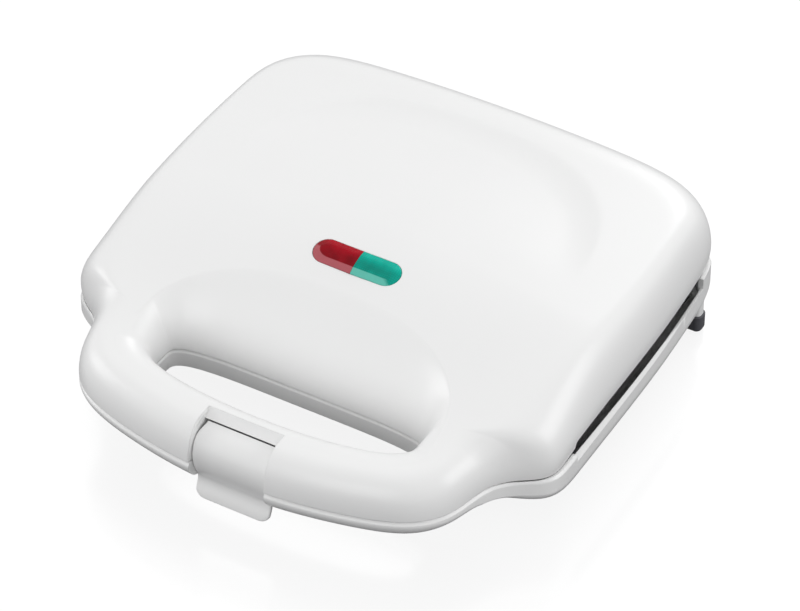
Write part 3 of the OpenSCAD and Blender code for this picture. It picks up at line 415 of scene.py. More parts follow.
GRIP_MID = BAR_W + GRIP_D / 2
SHOULDER_Y = WAIST_Y + 16
OUTLINE_HALF = [
    (0, -0.5),
    (HANDLE_W / 2 - 66, 1),
    (HANDLE_W / 2 - 37.5, 6.5),
    (HANDLE_W / 2 - 15, 14),
    (HANDLE_W / 2 - 3.5, 26),
    (HANDLE_W / 2, WAIST_Y - 13),
    (WAIST_W / 2, WAIST_Y),
    (WAIST_W / 2 + 8.5, WAIST_Y + 8.5),
    (HALF_BODY + 0.4, SHOULDER_Y),
    (HALF_BODY, SHOULDER_Y + 15),
    (HALF_BODY - 0.3, mix(SHOULDER_Y, BODY_D, 0.32)),
    (HALF_BODY - 0.8, mix(SHOULDER_Y, BODY_D, 0.57)),
    (HALF_BODY - 3.15, BODY_D - 43),
    (HALF_BODY - 5.3, BODY_D - 17.6),
    (HALF_BODY - 24.5, BODY_D - 1.5),
    (HALF_BODY - 62, BODY_D),
    (0, BODY_D + 0.4),
]


def closed_spline(control, steps):
    """Closed cubic B-spline: each span blends four neighbouring control points with cubic weights."""
    f = np.linspace(0, 1, steps, endpoint=False)[None, :, None]
    a, b, c, d = (np.roll(control, k, axis=0)[:, None, :] for k in (1, 0, -1, -2))
    blend = (1 - f) ** 3 * a + (4 - 6 * f**2 + 3 * f**3) * b
    blend = blend + (1 + 3 * f + 3 * f**2 - 3 * f**3) * c + f**3 * d
    return (blend / 6).reshape(-1, 2)


def outline(steps):
    """The plan outline at the parting plane: the right half's control points and their mirror image."""
    right = np.asarray(OUTLINE_HALF, float)
    left = right[-2:0:-1] * (-1, 1)
    return closed_spline(np.concatenate([right, left]), steps)


def grip_angle(o):
    """Angle round the grip opening that belongs to an outline point, in degrees."""
    dy = o[:, 1] - GRIP_MID
    reach = np.where(dy < 0, GRIP_MID, BODY_D - GRIP_MID)
    return np.degrees(np.arctan2(dy / reach, o[:, 0] / HALF_BODY))


def grip_edge(o):
    """Edge of the grip opening: a squarish superellipse whose front side sweeps back at its ends."""
    a = np.radians(grip_angle(o))
    x = GRIP_W / 2 * bend(np.cos(a), GRIP_SQUARE)
    y = GRIP_D / 2 * bend(np.sin(a), GRIP_SQUARE)
    front = np.clip(0.5 - y / GRIP_D, 0, 1)
    return np.stack([x, GRIP_MID + y + GRIP_SWEEP * front * (2 * x / GRIP_W) ** 2], axis=1)


def crest(o):
    """Crest line: the scoop's rim behind the opening, the middle of the bar in front of it."""
    a = grip_angle(o)
    rad = np.radians(a)
    rim_x = SCOOP_W / 2 * bend(np.cos(rad), SCOOP_ROUND)
    rim_y = GRIP_MID + (GRIP_D / 2 + SCOOP_RUN) * bend(np.sin(rad), SCOOP_ROUND)
    left = np.where(a > 90, 180 - a, -180 - a)
    past = np.where(np.abs(a) > 90, left, a) + CREST_TURN
    rim = np.stack([rim_x, rim_y], axis=1)
    return mix(mix(o, grip_edge(o), 0.5), rim, ease(past / CREST_FADE)[:, None])


def body_share(x, y):
    """0 on the handle, 1 on the body; the shoulders rise a little earlier than the middle."""
    return ease((y + SHOULDER_RISE * np.abs(x) - RAMP_Y) / RAMP_LEN)


def crown(x, y):
    """Height of the lid's upper face over the parting plane."""
    s = body_share(x, y)
    return HANDLE_TOP + (CROWN_H - HANDLE_TOP) * s - CROWN_DROP * s * (x / DROP_X) ** 2


def panel_sink(x, y):
    """Depth of the sunk panel: inside a superellipse it falls as 1 - (1 - u)^2 over the step's width,
    and it fades out towards the handle."""
    behind = np.maximum(y - PANEL_MID, 0) / (PANEL_REAR - PANEL_MID)
    reach = (np.abs(x / PANEL_HALF) ** PANEL_POWER + behind**PANEL_POWER) ** (1 / PANEL_POWER)
    inside = np.clip((1 - reach) * PANEL_HALF / PANEL_STEP, 0, 1)
    return PANEL_DEEP * (1 - (1 - inside) ** 2) * ease((y - PANEL_START) / PANEL_FADE)


def under(y):
    """Depth of the base's underside below the parting plane."""
    return mix(HANDLE_UNDER, TUB_DEPTH, ease((y - UNDER_RAMP_Y) / UNDER_RAMP))


def rear_top(inset):
    """Height of the lid's rear face at a distance in from the rear edge."""
    curve = (1 - (1 - inset / LID_ROUND) ** SIDE_POWER) ** (1 / SIDE_POWER)
    return float(crown(HINGE_X, BODY_D - LID_ROUND)) * curve


def rear_low(inset):
    """Depth of the base's rear face at a distance in from the rear edge."""
    return mix(RIM_H, TUB_DEPTH, (1 - (1 - inset / EDGE_ROUND) ** EDGE_POWER) ** (1 / EDGE_POWER))


def ray_lines(o, t):
    """Edge point, grip edge, directions, length and crest of the section on each outline ray,
    for a skin moved inwards by t."""
    h0, k = grip_edge(o), crest(o)
    out, back = unit(k - o), unit(k - h0)
    e, h = o + out * t, h0 + back * t
    return e, h, k, out, back, np.linalg.norm(k - e, axis=1, keepdims=True)


def at_rows(start, direction, distance):
    """Plan points start + direction * distance, for every ray and row."""
    return start[:, None, :] + direction[:, None, :] * distance[:, :, None]


def lid_skin(o, t, side_rows, crown_rows, fall_rows, edge_r=0.0, sink=False):
    """Lid skin on each ray: a small round at the parting edge, a superellipse up the side,
    the crown to the crest, and a superellipse down to the grip opening."""
    e, h, k, out, back, run = ray_lines(o, t)
    r = np.minimum(RUN_LIMIT * run, LID_ROUND - t)
    s = body_share(k[:, 0], k[:, 1])[:, None]
    p = mix(BAR_POWER, SIDE_POWER, np.clip(2.5 * s, 0, 1))
    swell = (SIDE_SWELL * body_share(o[:, 0], o[:, 1]) * o[:, 0] / HALF_BODY)[:, None]
    foot = HALF_GAP + edge_r
    parts = []
    if edge_r:
        turn = np.radians([0.0, 30.0, 60.0])
        xy = at_rows(e, out, np.broadcast_to(edge_r * (1 - np.sin(turn)), (len(o), 3)))
        xy[:, :, 0] -= swell
        z = np.broadcast_to(HALF_GAP + edge_r * (1 - np.cos(turn)), (len(o), 3))
        parts.append(raised(xy, z))
    a = np.radians(np.linspace(0, 90, side_rows + 1))[None, :]
    lift = np.sin(a) ** (2 / p)
    xy = at_rows(e, out, r * (1 - np.cos(a) ** (2 / p)))
    z = np.maximum(foot, (crown(xy[:, :, 0], xy[:, :, 1]) - t) * lift)
    xy[:, :, 0] -= swell * (1 - np.minimum(lift / SWELL_SPAN, 1)) ** 2
    parts.append(raised(xy, z))
    u = np.linspace(0, 1, crown_rows + 1)[None, 1:]
    xy = at_rows(e, out, mix(r, run, u))
    parts.append(raised(xy, crown(xy[:, :, 0], xy[:, :, 1]) - t))
    behind = np.clip(4 * s, 0, 1)
    fall, drop = mix(BAR_POWER, SCOOP_FALL, behind), mix(BAR_POWER, SCOOP_DROP, behind)
    a = np.radians(np.linspace(0, 90, fall_rows + 1))[None, 1:]
    share = np.sin(a) ** (2 / fall)
    xy = k[:, None, :] + (h - k)[:, None, :] * share[:, :, None]
    top = (crown(k[:, 0], k[:, 1]) - t)[:, None]
    parts.append(raised(xy, np.maximum(HALF_GAP, top * np.cos(a) ** (2 / drop))))
    skin = np.concatenate(parts, axis=1)
    if sink:
        skin[:, :, 2] -= panel_sink(skin[:, :, 0], skin[:, :, 1]) * (skin[:, :, 2] > CROWN_H / 2)
    return skin


def base_skin(o, t, floor_rows, flat_rows, edge_r=0.0):
    """Base skin on each ray: an upright rim, a superellipse under the edge, the floor to the crest,
    and the same way up to the grip opening."""
    e, h, k, out, back, run = ray_lines(o, t)
    run_h = np.linalg.norm(k - h, axis=1, keepdims=True)
    s = body_share(k[:, 0], k[:, 1])[:, None]
    r = np.minimum(RUN_LIMIT * run, mix(BAR_ROUND, EDGE_ROUND, np.clip(2 * s, 0, 1)))
    upright = mix(BAR_RIM_H, RIM_H, np.clip(4.5 * s, 0, 1)) - t
    a = np.radians(np.linspace(0, 90, floor_rows + 1))[None, :]
    inward, lower = 1 - np.cos(a) ** (2 / EDGE_POWER), np.sin(a) ** (2 / EDGE_POWER)

    def bevel(start, direction, size):
        """The slope at the parting edge: BEVEL_INSET inwards and BEVEL_DROP down, times its size."""
        shape = (len(o), len(BEVEL_INSET))
        xy = at_rows(start, direction, np.broadcast_to(size * np.array(BEVEL_INSET), shape))
        return raised(xy, np.broadcast_to(-HALF_GAP - size * np.array(BEVEL_DROP), shape))

    def corner(start, direction, radius, top):
        """A quarter superellipse from the upright rim to the floor."""
        xy = at_rows(start, direction, radius * inward)
        return raised(xy, -mix(top, under(xy[:, :, 1]) - t, lower))

    u = np.linspace(0, 1, flat_rows + 1)[None, 1:]
    xy = at_rows(e, out, mix(r, run, u))
    floor = raised(xy, t - under(xy[:, :, 1]))
    hole = corner(h, back, HOLE_RUN * run_h, HANDLE_UNDER - HOLE_RISE - t)
    outer, inner = bevel(e, out, edge_r), bevel(h, back, edge_r)
    parts = [outer, corner(e, out, r, upright), floor, hole[:, ::-1], inner[:, ::-1]]
    return np.concatenate(parts, axis=1)


def ring_solid(outer, inner):
    """Closed solid from two skins: each section runs along the outer skin and back along the inner."""
    sections = np.concatenate([outer, inner[:, ::-1]], axis=1)
    n, rows = sections.shape[:2]
    return solid(sections, grid_faces(n, rows, close_rows=True, close_cols=True))


# ======== Pieces ========

SPAN_STEPS = 14


def stadium(w, d, steps=24):
    """Outline of a bar with round ends, w long over all and d wide."""
    a = np.linspace(-np.pi / 2, np.pi / 2, steps)
    right = np.stack([(w - d) / 2 + d / 2 * np.cos(a), d / 2 * np.sin(a)], axis=1)
    return np.concatenate([right, -right])


def lens_place(points):
    """From the lens frame, in the lid's sloping face, to the plan frame: a turn about x, then a shift."""
    p = np.asarray(points, float)
    c, s = math.cos(LENS_TILT), math.sin(LENS_TILT)
    x, y, z = p[..., 0], p[..., 1], p[..., 2]
    return np.stack([x, LENS_Y + y * c - z * s, LENS_Z + y * s + z * c], axis=-1)


def in_lens_frame(shape):
    """A solid made in the lens frame, brought to the plan frame."""
    points, faces = shape
    return lens_place(points), faces


def rounded_corner(corner, before, after, r, steps=6):
    """Quadratic round of an outline corner: blends corner - r towards each neighbour."""
    corner, before, after = (np.asarray(v, float) for v in (corner, before, after))
    a = corner + unit(before - corner) * r
    b = corner + unit(after - corner) * r
    f = np.linspace(0, 1, steps)[:, None]
    return (1 - f) ** 2 * a + 2 * f * (1 - f) * corner + f**2 * b


def side_gap(x0, x1):
    """Cut for the long gap between lid and base, with a round upper front corner."""
    front, rear = GAP_FRONT, BODY_D - GAP_REAR
    line = [
        [(rear, -1)],
        [(front, -1)],
        rounded_corner((front, GAP_Z), (front, -1), (rear, GAP_Z), GAP_CORNER_R),
        [(rear, GAP_Z)],
    ]
    return prism(np.concatenate([np.asarray(p, float) for p in line]), x0, x1, 0)


def hinge_windows():
    """Openings in the lid's rear wall for the ears and for the wire sleeve."""
    spans = [(x - HINGE_OUT - 1, x + HINGE_OUT + 1) for x in (-HINGE_X, HINGE_X)]
    spans.append((LINK_X - LINK_HALF, LINK_X + LINK_HALF))
    low, high = (AXIS_Y - EYE_R - 1, -1), (BODY_D + PAST, HINGE_Z + SLOT_RISE)
    return [block((x0, *low), (x1, *high)) for x0, x1 in spans]


def slot_liner(line, wall_low, wall_high, wall_y):
    """Two cheeks beside the latch slot and the wall behind it."""
    half = SLOT_HALF + LINER_T
    parts = [prism(line, sx * SLOT_HALF, sx * half, 0) for sx in (-1, 1)]
    return [*parts, block((-half, wall_y, wall_low), (half, wall_y + LINER_T, wall_high))]


def slot_hood():
    """Hollow behind the latch's upper edge: its top rises by the power 1.4 of the distance back, its
    underside is an arc that the edge swings under."""
    u = np.linspace(0, 1, 13)
    top = np.stack([mix(HOOD_FRONT, HOOD_REAR, u), mix(HOOD_LOW, HANDLE_TOP - 0.2, u**1.4)], axis=1)
    a = np.arange(math.asin((HOOD_FRONT - PIN_Y) / HOOD_R), math.radians(80), math.radians(5))
    arc = np.stack([PIN_Y + HOOD_R * np.sin(a), PIN_Z + HOOD_R * np.cos(a)], axis=1)
    root = [
        (HOOD_REAR + WALL / 2, HANDLE_TOP - WALL / 2),
        (SLOT_Y + WALL / 2, HANDLE_TOP - WALL - 0.6),
        (SLOT_Y + WALL / 2, PIN_Z),
    ]
    return prism(np.concatenate([top, root, arc[::-1]]), -SLOT_HALF - 0.05, SLOT_HALF + 0.05, 0)


def make_upper_housing(material):
    """Upper shell: the lid's skins less the latch slot, side gaps, rear windows and lens seat, with the
    slot's liner, the hinge knuckles, the handle's ribs and the plate's posts inside."""
    o = outline(SPAN_STEPS)
    shell = ring_solid(
        lid_skin(o, 0, 26, 64, 26, edge_r=EDGE_R, sink=True),
        lid_skin(o, WALL, 10, 8, 10),
    )
    piece = make_object("upper_shell", shell)
    cuts = [block((-SLOT_HALF, -PAST, -1), (SLOT_HALF, HOOD_REAR, CROWN_H))]
    gap_rear, corner_rear = BODY_D - GAP_REAR - LAP, BODY_D - CORNER_END
    for x in (-HALF_BODY - PAST, HALF_BODY + PAST - GAP_CUT):
        cuts.append(side_gap(x, x + GAP_CUT))
        cuts.append(block((x, gap_rear, -1), (x + GAP_CUT, corner_rear, CORNER_Z)))
    low, high = (-HALF_BODY - PAST, corner_rear - LAP, -1), (HALF_BODY + PAST, BODY_D + PAST, REAR_EDGE_Z)
    cuts.append(block(low, high))
    cuts += hinge_windows()
    window = stadium(LENS_W + 2 * LENS_GAP, LENS_D + 2 * LENS_GAP)
    seat = stadium(LENS_W + 2 * (LENS_FLANGE + LENS_GAP), LENS_D + 2 * (LENS_FLANGE + LENS_GAP))
    cuts.append(in_lens_frame(prism(window, -2 * WALL, 2 * WALL, 2)))
    cuts.append(in_lens_frame(prism(seat, -LENS_SEAT - 3 * LENS_FLANGE_T, -LENS_SEAT, 2)))
    combine(piece, cuts, "DIFFERENCE")
    top, back = HANDLE_TOP - 2.8, SLOT_Y + LINER_T
    line = [(2.2, HALF_GAP), (2.2, 6), (4, 10.5), (7, 14), (12, top), (back, top), (back, HALF_GAP)]
    added = slot_liner(line, HALF_GAP, top, SLOT_Y)
    added.append(slot_hood())
    web_top = rear_top(HINGE_INSET - WEB_T / 2) - WALL
    for x in (-HINGE_X, HINGE_X):
        added.append(rod_x((x, AXIS_Y, HINGE_Z), EYE_R, KNUCKLE_W))
        low = (x - KNUCKLE_W / 2, AXIS_Y - WEB_T / 2, HINGE_Z)
        high = (x + KNUCKLE_W / 2, AXIS_Y + WEB_T / 2, web_top)
        added.append(block(low, high))
    for x in RIB_X:
        added.append(prism(RIB_LINE, x - RIB_T / 2, x + RIB_T / 2, 0))
    foot = PLATE_GAP / 2 + PLATE_T + POST_GAP
    for x in (-SCREW_X, SCREW_X):
        for y in (PLATE_Y + PLATE_MARGIN, PLATE_Y + PLATE_D - PLATE_MARGIN):
            height = float(crown(x, y)) - POST_SINK * WALL - foot
            added.append(rod_z((x, y, foot), POST_R, height))
    combine(piece, added, "UNION")
    bores = [rod_x((x, AXIS_Y, HINGE_Z), PIN_BORE, 2 * HINGE_OUT + 0.5) for x in (-HINGE_X, HINGE_X)]
    bores.append(rod_x((0, PIN_Y, PIN_Z), PIN_R, 2 * SLOT_HALF + 6))
    combine(piece, bores, "DIFFERENCE")
    return finish_piece(piece, material, "lid", ["upper_housing"])


def rim_corner_line():
    """Outline points of the rear right corner of the rim, and the same line moved in by the wall.
    The corner is the last two thirds of the outline's twelfth span."""
    steps = 9
    line = outline(steps).reshape(-1, steps, 2)[12, 3:]
    return np.concatenate([line, line[::-1] - (WALL, 0)])


def make_lower_housing(material):
    """Lower shell: the base's skins less the latch slot and the lowered rims, with the slot's liner and
    catch, the hinge ears, the rim's rear corners, the rear legs and the cord inlet."""
    o = outline(SPAN_STEPS)
    shell = ring_solid(
        base_skin(o, 0, 18, 14, edge_r=RIM_BEVEL),
        base_skin(o, WALL, 8, 6, edge_r=INNER_BEVEL),
    )
    piece = make_object("lower_shell", shell)
    cuts = [
        block((-SLOT_HALF, -PAST, -2 * HANDLE_UNDER), (SLOT_HALF, CATCH_Y, 1)),
        block(
            (-HALF_BODY - PAST, BODY_D - CORNER_END + 3, -REAR_DROP),
            (HALF_BODY + PAST, BODY_D + PAST, 1),
        ),
    ]
    for sx in (-1, 1):
        rim = [
            (sx * (HALF_BODY + 4), 1),
            (sx * (HALF_BODY + 4), -RIM_LOW - RIM_CHAMFER - 4),
            (sx * HALF_BODY, -RIM_LOW - RIM_CHAMFER),
            (sx * (HALF_BODY - RIM_CHAMFER), -RIM_LOW),
            (sx * (HALF_BODY - 6), -RIM_LOW),
            (sx * (HALF_BODY - 6), 1),
        ]
        cuts.append(prism(rim, GAP_FRONT, BODY_D - GAP_REAR, 1))
    combine(piece, cuts, "DIFFERENCE")
    low, back = -HANDLE_UNDER + 0.2, CATCH_Y + LINER_T
    line = [(2.4, -HALF_GAP), (2.4, -4.5), (4, -7.5), (7, -9.6), (back, low), (back, -HALF_GAP)]
    added = slot_liner(line, low, -HALF_GAP, CATCH_Y)
    nose, root = CATCH_Y - 1.6, CATCH_Y + 1
    catch = [(root, CATCH_LOW), (nose, CATCH_LOW), (nose, CATCH_LOW + 1), (root, -3.6)]
    added.append(prism(catch, -CATCH_HALF, CATCH_HALF, 0))
    ear_foot = -rear_low(HINGE_INSET - EYE_R) + WALL / 2
    for x in (-HINGE_X, HINGE_X):
        for d in (-EAR_MID, EAR_MID):
            added.append(rod_x((x + d, AXIS_Y, HINGE_Z), EYE_R, EAR_T))
            lowest = (x + d - EAR_T / 2, AXIS_Y - EYE_R, ear_foot)
            added.append(block(lowest, (x + d + EAR_T / 2, AXIS_Y + EYE_R, HINGE_Z)))
    corner = rim_corner_line()
    leg = round_outline(LEG_W / 2, LEG_D / 2, LEG_R)
    for sx in (-1, 1):
        added.append(prism(corner * (sx, 1), -4, POST_Z, 2))
        added.append(prism(leg + (sx * LEG_X, LEG_Y), FOOT_SOLE - BASE_H + 0.05, LEG_TOP, 2))
    inlet_y = BODY_D - INLET_IN
    added.append(rod_y((0, inlet_y - INLET_LEN, -INLET_Z), GROMMET_D / 2 + INLET_WALL, INLET_LEN))
    combine(piece, added, "UNION")
    bores = [rod_x((x, AXIS_Y, HINGE_Z), EAR_BORE, 2 * HINGE_OUT + 0.5) for x in (-HINGE_X, HINGE_X)]
    bores.append(rod_y((0, inlet_y - INLET_LEN - 2, -INLET_Z), GROMMET_D / 2, INLET_LEN + 12))
    bores.append(rod_y((0, inlet_y, -INLET_Z), GROMMET_D / 2 + INLET_FLANGE, 10))
    combine(piece, bores, "DIFFERENCE")
    return finish_piece(piece, material, "base", ["lower_housing"])


# ---- Latch ----

LATCH_KNOTS = [
    (PIN_Y + LATCH_TOP[0], PIN_Z + LATCH_TOP[1]),
    (PIN_Y - 1.5, PIN_Z + 6.7),
    (PIN_Y - 6.4, PIN_Z + 3.9),
    (3, 6),
    (3, 0),
    (4.6, -6),
    (6.9, -HANDLE_UNDER + 1),
    (6.6, -HANDLE_UNDER - 2.5),
    (4.6, -LATCH_REACH + 3),
    (4, -LATCH_REACH),
]


def open_spline(knots, steps):
    """Cubic B-spline that starts and ends on its end points, which are each counted three times."""
    p = np.asarray([knots[0]] * 2 + list(knots) + [knots[-1]] * 2, float)
    f = np.linspace(0, 1, steps, endpoint=False)[None, :, None]
    a, b, c, d = (p[k : len(p) - 3 + k][:, None, :] for k in range(4))
    blend = (1 - f) ** 3 * a + (4 - 6 * f**2 + 3 * f**3) * b
    blend = blend + (1 + 3 * f + 3 * f**2 - 3 * f**3) * c + f**3 * d
    return np.concatenate([(blend / 6).reshape(-1, 2), p[-1:]])


def latch_cover():
    """The latch's curved cover: a rounded-rectangle section carried along the front line.
    Its width follows the place along the line and rounds off at the lip."""
    front = open_spline(LATCH_KNOTS, 8)
    step = np.gradient(front, axis=0)
    inward = unit(np.stack([-step[:, 1], step[:, 0]], axis=1))
    run = np.concatenate([[0], np.cumsum(np.linalg.norm(np.diff(front, axis=0), axis=1))])
    left = run[-1] - run
    tip = np.clip(1 - left / LIP_R, 0, 1)
    half = LATCH_W / 2 + 0.2 - LIP_R * (1 - np.sqrt(1 - tip**2)) - 1.3 * ease(1 - run / 9)
    thick = LATCH_T * mix(0.35, 1, np.clip(np.minimum(run, left) / 0.8, 0, 1) ** 0.5)
    a = np.linspace(0, 2 * np.pi, 64, endpoint=False)
    across = bend(np.cos(a), 0.12)
    depth = 0.5 - 0.5 * bend(np.sin(a), 0.5)
    x = half[:, None] * across[None, :]
    yz = front[:, None, :] + inward[:, None, :] * (thick[:, None] * depth[None, :])[:, :, None]
    return ring_stack(np.concatenate([x[:, :, None], yz], axis=2))


def make_latch(material):
    """Latch: its cover, two cheeks with the pin's eyes, and the hook under the catch."""
    piece = make_object("latch_cover", latch_cover())
    added = []
    for x in (-CHEEK_X, CHEEK_X):
        added.append(rod_x((x, PIN_Y, PIN_Z), CHEEK_R, CHEEK_T))
        added.append(block((x - CHEEK_T / 2, 6, PIN_Z - 3), (x + CHEEK_T / 2, PIN_Y, PIN_Z + 3)))
    added.append(block((-12, 6.2, CATCH_LOW - 2.7), (12, CATCH_Y - 0.5, CATCH_LOW - 0.3)))
    combine(piece, added, "UNION")
    combine(piece, [rod_x((0, PIN_Y, PIN_Z), PIN_R + 0.08, LATCH_W + 2)], "DIFFERENCE")
    return finish_piece(piece, material, "latch", ["latch"])


# ---- Lenses ----

def lens_line(side):
    """Outline of half of a stadium: parallel sides, an arc at the end and a straight split."""
    a = np.linspace(-np.pi / 2, np.pi / 2, 33)
    arc = np.stack([(LENS_W - LENS_D) / 2 + LENS_D / 2 * np.cos(a), LENS_D / 2 * np.sin(a)], axis=1)
    n_side, n_split = 20, 17
    along = np.linspace(LENS_SPLIT, arc[0, 0], n_side, endpoint=False)
    low = np.stack([along, np.full(n_side, -LENS_D / 2)], axis=1)
    high = low[::-1] * (1, -1)
    across = np.linspace(LENS_D / 2, -LENS_D / 2, n_split)[1:-1]
    split = np.stack([np.full(n_split - 2, LENS_SPLIT), across], axis=1)
    return np.concatenate([low, arc, high, split]) * (side, 1)


# How far each ring of a lens is drawn in from the rim, and its height over the lid's face.
LENS_RINGS = [
    (0, -LENS_SEAT),
    (0, 0),
    (0.08, 0.16),
    (0.3, 0.26),
    (LENS_BEVEL - 0.5, LENS_TOP - 0.14),
    (LENS_BEVEL, LENS_TOP - 0.03),
    (LENS_BEVEL + 0.5, LENS_TOP),
    (0.65 * LENS_D / 2, LENS_TOP + 0.02),
    (0.8 * LENS_D / 2, LENS_TOP + 0.02),
    (0.95 * LENS_D / 2, LENS_TOP + 0.02),
]


def lens_half(side):
    """One lens: the half stadium's outline, drawn in from the rim towards its long middle line, first up
    a slope and then level; its flange and foot hang below."""
    line = lens_line(side)
    spine_x = side * np.clip(np.abs(line[:, 0]), 0, (LENS_W - LENS_D) / 2)
    spine = np.stack([spine_x, np.zeros(len(line))], axis=1)
    at_split = np.abs(line[:, 0]) < LENS_SPLIT + 0.01
    wide = line + unit(line - spine) * LENS_FLANGE
    wide[at_split] = line[at_split] * (1, 1 + 2 * LENS_FLANGE / LENS_D)
    rings = [at_level(wide, -LENS_SEAT - LENS_FLANGE_T), at_level(wide, -LENS_SEAT)]
    for pull, z in LENS_RINGS:
        rings.append(at_level(line * (1 - pull / (LENS_W / 2), 1 - pull / (LENS_D / 2)), z))
    return in_lens_frame(ring_stack(rings))


def make_lens(name, side, material):
    """One half of the lamp window, in its own colour."""
    piece = make_object(name + "_moulding", lens_half(side))
    return finish_piece(piece, material, "lid", [name], sharp=50)


# ---- Feet ----

def make_front_feet(material):
    """Round feet: a profile with a hollow sole, two rounded edges and a peg, turned about its axis."""
    h, r = BASE_H - TUB_DEPTH - 0.05, FOOT_D / 2
    sole_r, top_r, peg_r = 1.5, 0.6, 2.5
    turn = np.radians(np.linspace(0, 90, 7))
    low = [(r - sole_r + sole_r * math.sin(t), sole_r - sole_r * math.cos(t)) for t in turn]
    high = [(r - top_r + top_r * math.cos(t), h - top_r + top_r * math.sin(t)) for t in turn]
    hollow = [(0, 0.8), (r - 3.4, 0.8), (r - 2.8, 0.0)]
    profile = [*hollow, *low, *high, (peg_r, h), (peg_r, h + 3), (0, h + 3)]
    for side, x in (("left", -FOOT_X), ("right", FOOT_X)):
        piece = make_object(f"front_foot_{side}", lathe(profile, (x, FOOT_Y, -BASE_H)))
        finish_piece(piece, material, "base", ["front_feet"])


def make_rear_feet(material):
    """A cap over the leg's end: a rounded-rectangle outline on a rounded bottom."""
    turn = np.radians(np.linspace(0, 90, 8))
    bottom_r = 2.0
    half_w, half_d, corner = LEG_W / 2 + LEG_CAP, LEG_D / 2 + LEG_CAP, LEG_R + 0.6
    for side, x in (("left", -LEG_X), ("right", LEG_X)):
        rings = []
        for t in turn:
            pull = bottom_r * (1 - math.sin(t))
            line = round_outline(half_w - pull, half_d - pull, corner - pull)
            rings.append((line, bottom_r * (1 - math.cos(t))))
        rings.append((round_outline(half_w, half_d, corner), REAR_FOOT_H - 0.4))
        rings.append((round_outline(half_w - 0.3, half_d - 0.3, corner - 0.3), REAR_FOOT_H))
        inner = round_outline(LEG_W / 2 + 0.01, LEG_D / 2 + 0.01, LEG_R)
        rings += [(inner, REAR_FOOT_H), (inner, FOOT_SOLE)]
        shape = ring_stack([at_level(line + (x, LEG_Y), z - BASE_H) for line, z in rings])
        piece = make_object(f"rear_foot_{side}", shape)
        finish_piece(piece, material, "base", ["rear_feet"])


# ======== Materials ========

def new_group(name, inputs, outputs):
    """A shader node group with named sockets; returns the group and its input and output nodes."""
    group = bpy.data.node_groups.new(name, "ShaderNodeTree")
    for label, kind, value in inputs:
        socket = group.interface.new_socket(name=label, in_out="INPUT", socket_type=kind)
        if value is not None:
            socket.default_value = value
    for label, kind in outputs:
        group.interface.new_socket(name=label, in_out="OUTPUT", socket_type=kind)
    return group, group.nodes.new("NodeGroupInput"), group.nodes.new("NodeGroupOutput")


def new_material(name):
    """A material with its nodes, its links and its Principled shader."""
    material = bpy.data.materials.new(name)
    material.use_nodes = True
    tree = material.node_tree
    return material, tree.nodes, tree.links, tree.nodes["Principled BSDF"]


def feed(links, value, socket):
    """Links a node's output to a socket, or sets the socket to a number or colour."""
    if isinstance(value, bpy.types.NodeSocket):
        links.new(value, socket)
    else:
        socket.default_value = value


def maths(nodes, links, operation, a, b, clamp=False):
    """One Math node; a and b are outputs or numbers."""
    node = nodes.new("ShaderNodeMath")
    node.operation = operation
    node.use_clamp = clamp
    feed(links, a, node.inputs[0])
    feed(links, b, node.inputs[1])
    return node.outputs[0]


def mixed(nodes, links, share, first, second):
    """One Mix node for colours, from first to second; both are outputs or colours."""
    node = nodes.new("ShaderNodeMix")
    node.data_type = "RGBA"
    links.new(share, node.inputs["Factor"])
    feed(links, first, node.inputs[6])
    feed(links, second, node.inputs[7])
    return node.outputs[2]


